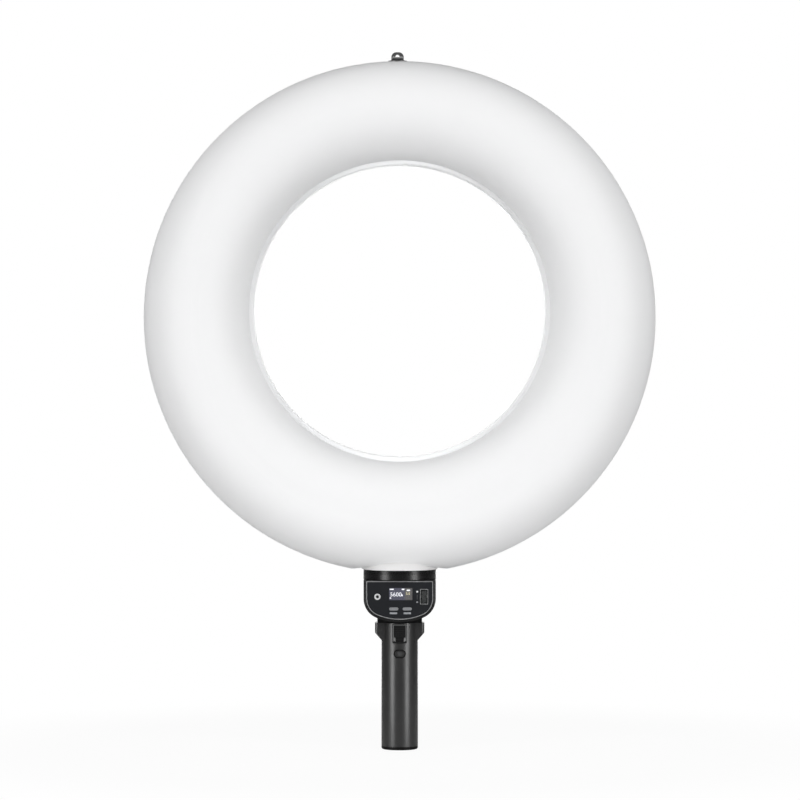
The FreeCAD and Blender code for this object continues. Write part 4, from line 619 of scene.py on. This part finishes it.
class Finish(Enum):
    """Every finish on the light, by the name of what it is.

    Moulded takes its colour, roughness, grain scale, grain depth, drift, shine and coat, and
    Metal its colour, roughness, streaks and their depth.
    """

    OPAL = Opal((0.903, 0.905, 0.910))
    SHELL_WHITE = Moulded((0.86, 0.865, 0.88), 0.5, 2400.0, 0.000008, 0.015, 0.4)
    TRIM_WHITE = Moulded((0.93, 0.935, 0.94), 0.42, 2400.0, 0.000006, 0.012, 0.4)
    CUFF_WHITE = Moulded((0.77, 0.768, 0.764), 0.5, 2400.0, 0.000006, 0.012, 0.2)
    HOUSING_BLACK = Moulded((0.006, 0.006, 0.0064), 0.38, 2800.0, 0.000012, 0.12, 0.3)
    COLLAR_BLACK = Moulded((0.004, 0.004, 0.0042), 0.27, 2800.0, 0.000006, 0.12, 0.38)
    PANEL_DARK = Moulded((0.011, 0.012, 0.0145), 0.33, 3200.0, 0.000006, 0.08, 0.3)
    GRIP_GREY = Moulded((0.003, 0.003, 0.0032), 0.34, 3000.0, 0.000006, 0.1, 0.85)
    FOOT_BLACK = Moulded((0.0025, 0.0025, 0.0027), 0.45, 2800.0, 0.00001, 0.12, 0.15)
    KEY_GREY = Moulded((0.22, 0.225, 0.235), 0.4, 2600.0, 0.00001, 0.06, 0.5)
    INNER_GREY = Moulded((0.06, 0.06, 0.064), 0.5)
    CELL_BLUE = Moulded((0.05, 0.16, 0.36), 0.25, 1200.0, 0.000004, 0.05, 0.5, 0.3)
    PALE_RIM = Moulded((0.60, 0.605, 0.61), 0.3, 2600.0, 0.000004, 0.05, 0.6)
    HANGER_BLACK = Moulded((0.018, 0.018, 0.019), 0.34, 2000.0, 0.000012, 0.15, 0.9)
    LINE_SILVER = Metal((0.60, 0.605, 0.615), 0.36, EVEN, 0.000003)
    STEEL = Metal((0.55, 0.55, 0.56), 0.32, (1.0, 1.0, 4.0))
    TRAY_METAL = Metal((0.72, 0.73, 0.74), 0.38, (1.0, 1.0, 12.0))
    BRASS = Metal((0.78, 0.58, 0.28), 0.28, (1.0, 1.0, 20.0))
    WHEEL = Rubbery((0.018, 0.0195, 0.0195))
    BOARD_GREEN = Board((0.012, 0.10, 0.045), (0.03, 0.19, 0.09))
    BOARD_WHITE = Board((0.82, 0.82, 0.80), (0.74, 0.75, 0.74))
    WARM_CHIP = Phosphor((0.95, 0.62, 0.18))
    COOL_CHIP = Phosphor((0.93, 0.84, 0.42))
    WINDOW = TintedGlass((0.05, 0.05, 0.06))
    PRINT_DARK = Glow((0.05, 0.052, 0.056))
    PRINT_FAINT = Glow((0.075, 0.077, 0.08))
    PRINT_GREY = Glow((0.31, 0.32, 0.34))
    # White print with a faint painted glow
    PRINT_WHITE = Glow((0.72, 0.73, 0.74), 0.1)
    LIT_WHITE = Glow((0.95, 0.96, 1.0), 1.0)
    LIT_YELLOW = Glow((0.88, 0.80, 0.52), 0.75)

    def skin(self) -> bpy.types.Material:
        """Give the finish's material, made once."""
        name = f"{self.name.lower()}_finish"
        return bpy.data.materials.get(name) or self.value.material(name)


# Finishes drawn on one node, with their edges in millimetres


@dataclass(frozen=True)
class Rim:
    """A dark frame with a bright line just inside its outline, closed or open at the foot."""

    node: str
    inset: float
    width: float
    bright: Colour
    open_foot: bool = False
    dark: Colour = (0.004, 0.004, 0.0043)
    soft: float = 0.1
    foot_fade: Pair = (1.5, 2.1)
    roughness: Pair = (0.24, 0.36)
    grain_scale: float = 2600.0
    grain_share: Pair = (0.8, 1.0)
    grain_depth: float = 0.000006

    def skin(self) -> bpy.types.Material:
        """Make the frame's material.

        Returns:
            The material.
        """
        low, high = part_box(self.node)
        half = (high - low) / 2
        graph = Graph(f"{self.node}_rim")
        across, up = graph.from_middle(low, high)
        edge = (across.size() - half.x).most(up.size() - half.z)
        inner, outer, soft = -(self.inset + self.width) * MM, -self.inset * MM, self.soft * MM
        # On the lock frame this bright line is a painted highlight along its edge
        line = edge.rise(inner - soft, inner + soft) * edge.rise(outer + soft, outer - soft)
        if self.open_foot:
            bare, full = self.foot_fade
            line = line * up.rise(bare * MM - half.z, full * MM - half.z)
        grain = graph.noise(self.grain_scale, FINE)
        lit = line * grain.span(*self.grain_share)
        return graph.surface(
            Base_Color=graph.blend(lit, self.dark, self.bright),
            Roughness=grain.span(*self.roughness),
            Normal=graph.bump(grain, self.grain_depth),
        )


@dataclass(frozen=True)
class KeyFace:
    """The power key's face: a pale turned rim round a dark middle.

    The turning rate is in radians per metre of the key's radius.
    """

    core_edge: Pair = (1.5, 1.3)
    core: Colour = (0.008, 0.008, 0.009)
    rim: Tones = ((0.52, 0.525, 0.53), (0.60, 0.605, 0.61))
    roughness: Pair = (0.3, 0.38)
    turning_rate: float = 30000.0
    turning_depth: float = 0.00001

    def skin(self) -> bpy.types.Material:
        """Make the key's material.

        Returns:
            The material.
        """
        low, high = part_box("power_button")
        graph = Graph("power_face")
        across, up = graph.from_middle(low, high)
        radius = (across * across + up * up).root()
        start, full = self.core_edge
        dark = radius.rise(start * MM, full * MM)
        rings = (radius * self.turning_rate).wave() * 0.5 + 0.5
        return graph.surface(
            Base_Color=graph.blend(dark, graph.blend(rings, *self.rim), self.core),
            Roughness=rings.span(*self.roughness),
            Normal=graph.bump(rings, self.turning_depth),
        )


@dataclass(frozen=True)
class SliderFace:
    """The lock slider's face: dry black, with a painted highlight on its two lower corners."""

    side_fade: Pair = (2.6, 1.4)
    foot_fade: Pair = (4.6, 3.0)
    black: Colour = (0.004, 0.004, 0.0044)
    # Colour of the painted highlight on the two lower corners
    corner_highlight: Colour = (0.58, 0.58, 0.585)
    roughness: Pair = (0.4, 0.55)
    shine: float = 0.25
    grain_scale: float = 1500.0
    grain_share: Pair = (0.6, 1.0)
    grain_depth: float = 0.00003

    def skin(self) -> bpy.types.Material:
        """Make the slider's material.

        Returns:
            The material.
        """
        low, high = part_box("lock_slider")
        half = (high - low) / 2
        graph = Graph("slider_face")
        across, up = graph.from_middle(low, high)
        start, full = self.side_fade
        side = across.size().rise(half.x - start * MM, half.x - full * MM)
        start, full = self.foot_fade
        foot = up.rise(start * MM - half.z, full * MM - half.z)
        grain = graph.noise(self.grain_scale, FINE)
        # Painted highlight: the two lower corners are lightened as if light fell on them
        lit_corners = side * foot * grain.span(*self.grain_share)
        return graph.surface(
            Base_Color=graph.blend(lit_corners, self.black, self.corner_highlight),
            Roughness=grain.span(*self.roughness),
            Specular_IOR_Level=self.shine,
            Normal=graph.bump(grain, self.grain_depth),
        )


@dataclass(frozen=True)
class ModuleFace:
    """The lit display module's face: cool grey, with a warmer column on the right."""

    column_edge: Pair = (4.6, 5.2)
    cool: Tones = ((0.070, 0.070, 0.104), (0.12, 0.12, 0.16))
    warm: Tones = ((0.105, 0.101, 0.098), (0.15, 0.144, 0.140))
    unlit: Tones = ((0.05, 0.05, 0.065), (0.065, 0.063, 0.062))
    strength: float = 0.9
    row_scale: float = 900.0
    row_width: float = 0.3
    row_rough: float = 0.3

    def skin(self) -> bpy.types.Material:
        """Make the module's material.

        Returns:
            The material.
        """
        graph = Graph("display_face")
        across, _, _ = graph.along(graph.place())
        start, full = self.column_edge
        column = across.rise(start * MM, full * MM)
        rows = graph.noise(self.row_scale, SOFT).about(self.row_width) + 1.0
        left, right = (graph.blend(rows * 0.5, *tones) for tones in (self.cool, self.warm))
        return graph.surface(
            Base_Color=graph.blend(column, *self.unlit),
            Roughness=rows * self.row_rough,
            Emission_Color=graph.blend(column, left, right),
            Emission_Strength=self.strength,
        )


def dress(finish: Union[Finish, bpy.types.Material], *nodes: str) -> None:
    """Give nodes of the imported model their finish.

    Args:
        finish: The finish or a ready material.
        *nodes: The nodes' names.
    """
    skin = finish.skin() if isinstance(finish, Finish) else finish
    for node in nodes:
        item = bpy.data.objects[node]
        if not item.material_slots:
            item.data.materials.append(skin)
        for place in item.material_slots:
            place.material = skin
        LOG.info("dressed %s", node)


# Modelling


def clear_selection() -> None:
    """Deselect every object and leave none active."""
    for item in bpy.context.selected_objects:
        item.select_set(False)
    bpy.context.view_layer.objects.active = None


def named(name: str) -> bpy.types.Object:
    """Name the object that an operator has just added, and its mesh.

    Args:
        name: The name for both.

    Returns:
        The object.
    """
    item = bpy.context.active_object
    item.name = name
    item.data.name = name
    return item


def settle(item: bpy.types.Object) -> None:
    """Move an object's place, turn and scale into its mesh.

    Args:
        item: The object.
    """
    clear_selection()
    item.select_set(True)
    bpy.context.view_layer.objects.active = item
    bpy.ops.object.transform_apply(location=True, rotation=True, scale=True)


def complete(item: bpy.types.Object, finish: Finish, body: str) -> None:
    """Dress a new piece and let it ride on a body.

    Args:
        item: The piece.
        finish: Its finish.
        body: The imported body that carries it.
    """
    item.data.materials.clear()
    item.data.materials.append(finish.skin())
    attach(item, body)
    LOG.info("made %s", item.name)


def plate(name: str, centre: Point, size: Point, bend: float) -> bpy.types.Object:
    """Model a thin plate that faces the viewer, with rounded corners.

    Args:
        name: The piece's name.
        centre: Its middle.
        size: Its width, depth and height.
        bend: The radius of its corners.

    Returns:
        The plate.
    """
    clear_selection()
    bpy.ops.mesh.primitive_cube_add(size=1.0, location=centre)
    item = named(name)
    item.scale = size
    settle(item)
    bpy.ops.object.mode_set(mode="EDIT")
    bpy.ops.mesh.select_mode(type="EDGE")
    bpy.ops.mesh.select_all(action="DESELECT")
    bpy.ops.object.mode_set(mode="OBJECT")
    # Only the four edges that run from front to back are bent
    points = item.data.vertices
    for edge in item.data.edges:
        start, end = (points[index].co for index in edge.vertices)
        edge.select = math.hypot(start.x - end.x, start.z - end.z) < SAME_PLACE
    bpy.ops.object.mode_set(mode="EDIT")
    bpy.ops.mesh.bevel(offset=bend, segments=BEND_STEPS, affect="EDGES")
    bpy.ops.mesh.select_all(action="SELECT")
    bpy.ops.mesh.normals_make_consistent(inside=False)
    bpy.ops.object.mode_set(mode="OBJECT")
    return item


def digits(name: str, text: str, centre: Point, height: float, depth: float) -> bpy.types.Object:
    """Model plain digits that face the viewer.

    Args:
        name: The piece's name.
        text: The digits.
        centre: Their middle.
        height: Their height.
        depth: Their thickness.

    Returns:
        The digits as one mesh.
    """
    clear_selection()
    bpy.ops.object.text_add(location=ORIGIN)
    item = bpy.context.active_object
    item.data.body = text
    item.data.align_x = "CENTER"
    item.data.size = height / DIGIT_SHARE
    item.data.extrude = depth / 2
    item.data.resolution_u = CURVE_STEPS
    bpy.ops.object.convert(target="MESH")
    item = named(name)
    item.rotation_euler = UPRIGHT
    settle(item)
    # The first and the seventh corner of a box lie opposite each other
    corner, opposite = Vector(item.bound_box[0]), Vector(item.bound_box[6])
    item.location = Vector(centre) - (corner + opposite) / 2
    settle(item)
    return item


@dataclass(frozen=True)
class Mark:
    """A thin rounded mark on the front of the head, in millimetres."""

    name: str
    centre: Pair
    size: Pair
    bend: float
    finish: Finish

    def build(self, front: float, depth: float, slot: str) -> None:
        """Model the mark.

        Args:
            front: Where its middle lies from front to back, in millimetres.
            depth: Its thickness, in millimetres.
            slot: Not used.
        """
        (x, z), (width, height) = self.centre, self.size
        centre, size = (x * MM, front * MM, z * MM), (width * MM, depth * MM, height * MM)
        complete(plate(self.name, centre, size, self.bend * MM), self.finish, "head")


@dataclass(frozen=True)
class Reading:
    """Plain digits on the front of the head, in millimetres."""

    name: str
    text: str
    centre: Pair
    height: float
    finish: Finish

    def build(self, front: float, depth: float, slot: str) -> None:
        """Model the digits.

        Args:
            front: Where their middle lies from front to back, in millimetres.
            depth: Their thickness, in millimetres.
            slot: Not used.
        """
        x, z = self.centre
        centre = (x * MM, front * MM, z * MM)
        item = digits(self.name, self.text, centre, self.height * MM, depth * MM)
        complete(item, self.finish, "head")


# Sub-assemblies


@dataclass
class Ring:
    """The opal tube ring with its carrier and LEDs."""

    def dress(self) -> None:
        """Give the ring's nodes their finishes."""
        dress(Finish.OPAL, "front_diffuser")
        dress(Finish.SHELL_WHITE, "rear_shell")
        dress(Finish.TRIM_WHITE, "inner_trim_ring")
        dress(Finish.TRAY_METAL, "carrier_tray")
        dress(Finish.BOARD_WHITE, "led_board")
        dress(Finish.WARM_CHIP, "warm_leds")
        dress(Finish.COOL_CHIP, "cool_leds")
        dress(Finish.STEEL, "shell_screws")


@dataclass
class Neck:
    """Cuff, collar, housing lid and the bracket between the ring and the housing."""

    def dress(self) -> None:
        """Give the neck's nodes their finishes."""
        dress(Finish.CUFF_WHITE, "neck_cuff")
        dress(Finish.COLLAR_BLACK, "collar")
        dress(Finish.TRAY_METAL, "neck_bracket")
        dress(Finish.STEEL, "bracket_screws", "collar_screws")
        dress(Finish.INNER_GREY, "housing_lid")


@dataclass
class Hanger:
    """Screw and swinging bail on the ring's top."""

    def dress(self) -> None:
        """Give the hanger's nodes their finishes."""
        dress(Finish.HANGER_BLACK, "hanger_screw", "hanger_bail")
        dress(Finish.TRAY_METAL, "top_bracket")
        dress(Finish.STEEL, "bail_pin", "top_bracket_screws")


@dataclass
class Display:
    """The display's module and window, and what it shows between them, in millimetres."""

    front: float = -28.25
    depth: float = 0.24
    face: ModuleFace = ModuleFace()
    shown: tuple[Union[Reading, Mark], ...] = (
        Reading("display_reading", "5600", (-3.5, 146.3), 3.75, Finish.LIT_WHITE),
        Reading("display_second", "5.0", (7.8, 147.1), 2.2, Finish.LIT_YELLOW),
        Mark("display_gauge", (-7.4, 151.0), (4.0, 1.1), 0.3, Finish.LIT_WHITE),
        Mark("display_state", (3.1, 151.0), (2.6, 1.3), 0.6, Finish.LIT_WHITE),
        Mark("display_mode", (8.1, 150.1), (3.2, 1.4), 0.6, Finish.LIT_WHITE),
        Mark("display_dot", (-8.6, 142.9), (1.5, 1.5), 0.7, Finish.LIT_WHITE),
        Mark("display_unit", (2.2, 145.4), (1.1, 1.6), 0.3, Finish.LIT_WHITE),
    )

    def dress(self) -> None:
        """Give the display's nodes their finishes."""
        dress(Finish.WINDOW, "display_window")
        dress(self.face.skin(), "display_module")

    def build(self) -> None:
        """Model the numbers and marks."""
        for item in self.shown:
            item.build(self.front, self.depth, "screen_body")


@dataclass
class Panel:
    """The control housing with its panel, keys, dial and electronics, in millimetres."""

    front: float = -30.0
    print_depth: float = 0.05
    power_face: KeyFace = KeyFace()
    bezel_rim: Rim = Rim("dial_bezel", 0.4, 0.6, (0.30, 0.305, 0.31))
    prints: tuple[Mark, ...] = (
        Mark("label_left", (-5.8, 128.9), (6.9, 1.7), 0.4, Finish.PRINT_GREY),
        Mark("label_right", (7.0, 128.9), (6.9, 1.7), 0.4, Finish.PRINT_GREY),
        Mark("dial_mark_high", (16.3, 148.9), (1.8, 1.5), 0.6, Finish.PRINT_WHITE),
        Mark("dial_mark_low", (16.3, 139.2), (1.7, 1.2), 0.5, Finish.PRINT_GREY),
        Mark("dial_mark_bar", (16.3, 144.0), (0.7, 4.4), 0.3, Finish.PRINT_DARK),
    )

    def dress(self) -> None:
        """Give the housing's nodes their finishes."""
        dress(Finish.HOUSING_BLACK, "housing_shell")
        dress(Finish.PANEL_DARK, "face_panel")
        dress(Finish.FOOT_BLACK, "coupling_foot")
        dress(Finish.LINE_SILVER, "panel_border")
        dress(Finish.PALE_RIM, "power_ring")
        dress(self.power_face.skin(), "power_button")
        dress(self.bezel_rim.skin(), "dial_bezel")
        dress(Finish.WHEEL, "dial_wheel")
        dress(Finish.KEY_GREY, "mode_button_left", "mode_button_right")
        dress(Finish.STEEL, "dial_axle", "board_screws", "foot_screws", "power_inlet")
        dress(Finish.INNER_GREY, "dial_bracket", "encoder_body", "button_switches", "driver_posts")
        dress(Finish.BOARD_GREEN, "control_board", "driver_board")
        dress(Finish.BRASS, "contact_pins")

    def build(self) -> None:
        """Model the plain marks printed on the panel."""
        for mark in self.prints:
            mark.build(self.front - self.print_depth / 2, self.print_depth, "silver_line")


@dataclass
class Handle:
    """The handle with its lock, button and cell, in millimetres."""

    # The lock frame's bright line is a painted highlight along its edge, fading out at the foot
    frame_highlight_rim: Rim = Rim("lock_frame", 0.5, 0.9, (0.2, 0.201, 0.203), open_foot=True)
    slider_face: SliderFace = SliderFace()
    bar_size: Point = (3.6, 0.05, 0.7)
    bar_bend: float = 0.3
    bar_lift: float = 0.9

    def dress(self) -> None:
        """Give the handle's nodes their finishes."""
        dress(Finish.GRIP_GREY, "grip", "oval_button")
        dress(Finish.FOOT_BLACK, "base_cap", "oval_ring")
        dress(self.frame_highlight_rim.skin(), "lock_frame")
        dress(self.slider_face.skin(), "lock_slider")
        dress(Finish.STEEL, "lock_bolt", "bolt_pin", "battery_spring")
        dress(Finish.INNER_GREY, "socket_insert", "battery_sleeve", "handle_switch")
        dress(Finish.BOARD_GREEN, "contact_plate", "switch_board")
        dress(Finish.CELL_BLUE, "battery_cell")
        dress(Finish.BRASS, "tripod_insert")

    def build(self) -> None:
        """Model the two plain bars on the oval button."""
        low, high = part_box("oval_button")
        middle = (low + high) / 2
        width, depth, height = (length * MM for length in self.bar_size)
        lift = self.bar_lift * MM
        for name, rise in (("button_bar_high", lift), ("button_bar_low", -lift)):
            centre = (middle.x, low.y - depth / 2, middle.z + rise)
            bar = plate(name, centre, (width, depth, height), self.bar_bend * MM)
            complete(bar, Finish.PRINT_FAINT, "handle_button")


# Studio


@dataclass(frozen=True)
class SoftBox:
    """A rectangular lamp, its size as width and height and its power in watts."""

    name: str
    place: Point
    size: Pair
    power: float

    def hang(self, aim: Point) -> None:
        """Hang the lamp.

        Args:
            aim: The point it faces.
        """
        data = bpy.data.lights.new(self.name, "AREA")
        data.shape = "RECTANGLE"
        data.size, data.size_y = self.size
        data.energy = self.power
        item = bpy.data.objects.new(self.name, data)
        bpy.context.scene.collection.objects.link(item)
        item.location = self.place
        way = Vector(aim) - Vector(self.place)
        item.rotation_euler = way.to_track_quat("-Z", "Y").to_euler()


@dataclass
class Studio:
    """Camera, floor, backdrop, world and soft boxes."""

    distance: float = 3.3
    eye_height: float = 0.3271
    eye_side: float = 0.0003
    frame_width: float = 0.7504
    sensor: float = 36.0
    clip: Pair = (0.05, 60.0)
    sky: float = 0.13
    mirrored: float = 0.05
    paper: Tones = ((0.90, 0.90, 0.90), (0.93, 0.93, 0.93))
    speck_scale: float = 40.0
    floor_radius: float = 0.62
    floor_sides: int = 96
    floor_place: Point = (0.0, 0.0, -0.0005)
    floor_white: float = 0.94
    fade_start: float = 0.3
    fade_margin: float = 0.04
    backdrop_size: float = 24.0
    backdrop_place: Point = (0.0, 4.0, 6.0)
    aim: Point = (0.0, 0.0, 0.45)
    boxes: tuple[SoftBox, ...] = (
        SoftBox("front_box", (0.0, -3.6, 1.35), (2.4, 0.9), 11.0),
        SoftBox("top_box", (0.0, -1.9, 3.1), (2.4, 1.4), 31.0),
        SoftBox("rear_box", (0.0, 3.0, 0.45), (2.0, 1.6), 32.0),
        SoftBox("left_box", (-2.05, -1.88, 0.5), (0.9, 1.25), 34.5),
        SoftBox("right_box", (2.05, -1.88, 0.5), (0.9, 1.25), 34.5),
    )

    def camera(self) -> None:
        """Put the camera level in front of the light, as in the photograph."""
        data = bpy.data.cameras.new("camera")
        item = bpy.data.objects.new("camera", data)
        bpy.context.scene.collection.objects.link(item)
        item.location = (self.eye_side, -self.distance, self.eye_height)
        item.rotation_euler = UPRIGHT
        data.sensor_width = self.sensor
        data.lens = self.sensor * self.distance / self.frame_width
        data.clip_start, data.clip_end = self.clip
        bpy.context.scene.camera = item

    def pale_skin(self, name: str, white: float) -> bpy.types.Material:
        """Make a pale surface that looks white to the camera.

        Args:
            name: The material's name.
            white: The share of plain white that the camera sees near the light; the rest keeps
                its shadow, and fades out further off.

        Returns:
            The material.
        """
        graph = Graph(name)
        across, along, _ = graph.along(graph.place())
        radius = (across * across + along * along).root()
        far = radius.rise(self.fade_start, self.floor_radius - self.fade_margin)
        seen = graph.seen(self.mirrored) * far.span(white, 1.0)
        tone = graph.blend(graph.noise(self.speck_scale, FINE), *self.paper)
        matte = graph.wire("ShaderNodeBsdfDiffuse", inputs={"Color": tone})
        bright = graph.wire("ShaderNodeEmission", inputs={"Strength": 1.0})
        mixed = graph.wire("ShaderNodeMixShader", inputs={0: seen, 1: matte, 2: bright})
        graph.node("ShaderNodeOutputMaterial", inputs={"Surface": mixed})
        return graph.owner

    def room(self) -> None:
        """Lay the floor and hang the backdrop."""
        clear_selection()
        bpy.ops.mesh.primitive_circle_add(
            vertices=self.floor_sides,
            radius=self.floor_radius,
            fill_type="NGON",
            location=self.floor_place,
        )
        floor = named("floor")
        floor.data.materials.append(self.pale_skin("floor_white", self.floor_white))
        clear_selection()
        bpy.ops.mesh.primitive_plane_add(
            size=self.backdrop_size, location=self.backdrop_place, rotation=UPRIGHT
        )
        backdrop = named("backdrop")
        backdrop.data.materials.append(self.pale_skin("backdrop_white", 1.0))

    def world(self) -> None:
        """Give the world an even soft light that the camera sees as white."""
        bpy.context.scene.world = bpy.data.worlds.new("studio")
        graph = Graph("studio", bpy.context.scene.world)
        soft, plain = (
            graph.wire("ShaderNodeBackground", inputs={"Color": WHITE, "Strength": strength})
            for strength in (self.sky, 1.0)
        )
        seen = graph.seen(self.mirrored)
        mixed = graph.wire("ShaderNodeMixShader", inputs={0: seen, 1: soft, 2: plain})
        graph.node("ShaderNodeOutputWorld", inputs={"Surface": mixed})

    def build(self) -> None:
        """Set up the whole studio."""
        self.camera()
        self.room()
        self.world()
        for box in self.boxes:
            box.hang(self.aim)
        bpy.context.scene.view_settings.view_transform = "Standard"


def main() -> None:
    """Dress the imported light, add what the panel shows and set up the studio."""
    logging.basicConfig(level=logging.INFO, format="%(name)s: %(message)s")
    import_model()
    display, panel, grip = Display(), Panel(), Handle()
    for part in (Ring(), Neck(), Hanger(), display, panel, grip):
        part.dress()
    for part in (display, panel, grip, Studio()):
        part.build()
    LOG.info("done")


if __name__ == "__main__":
    main()
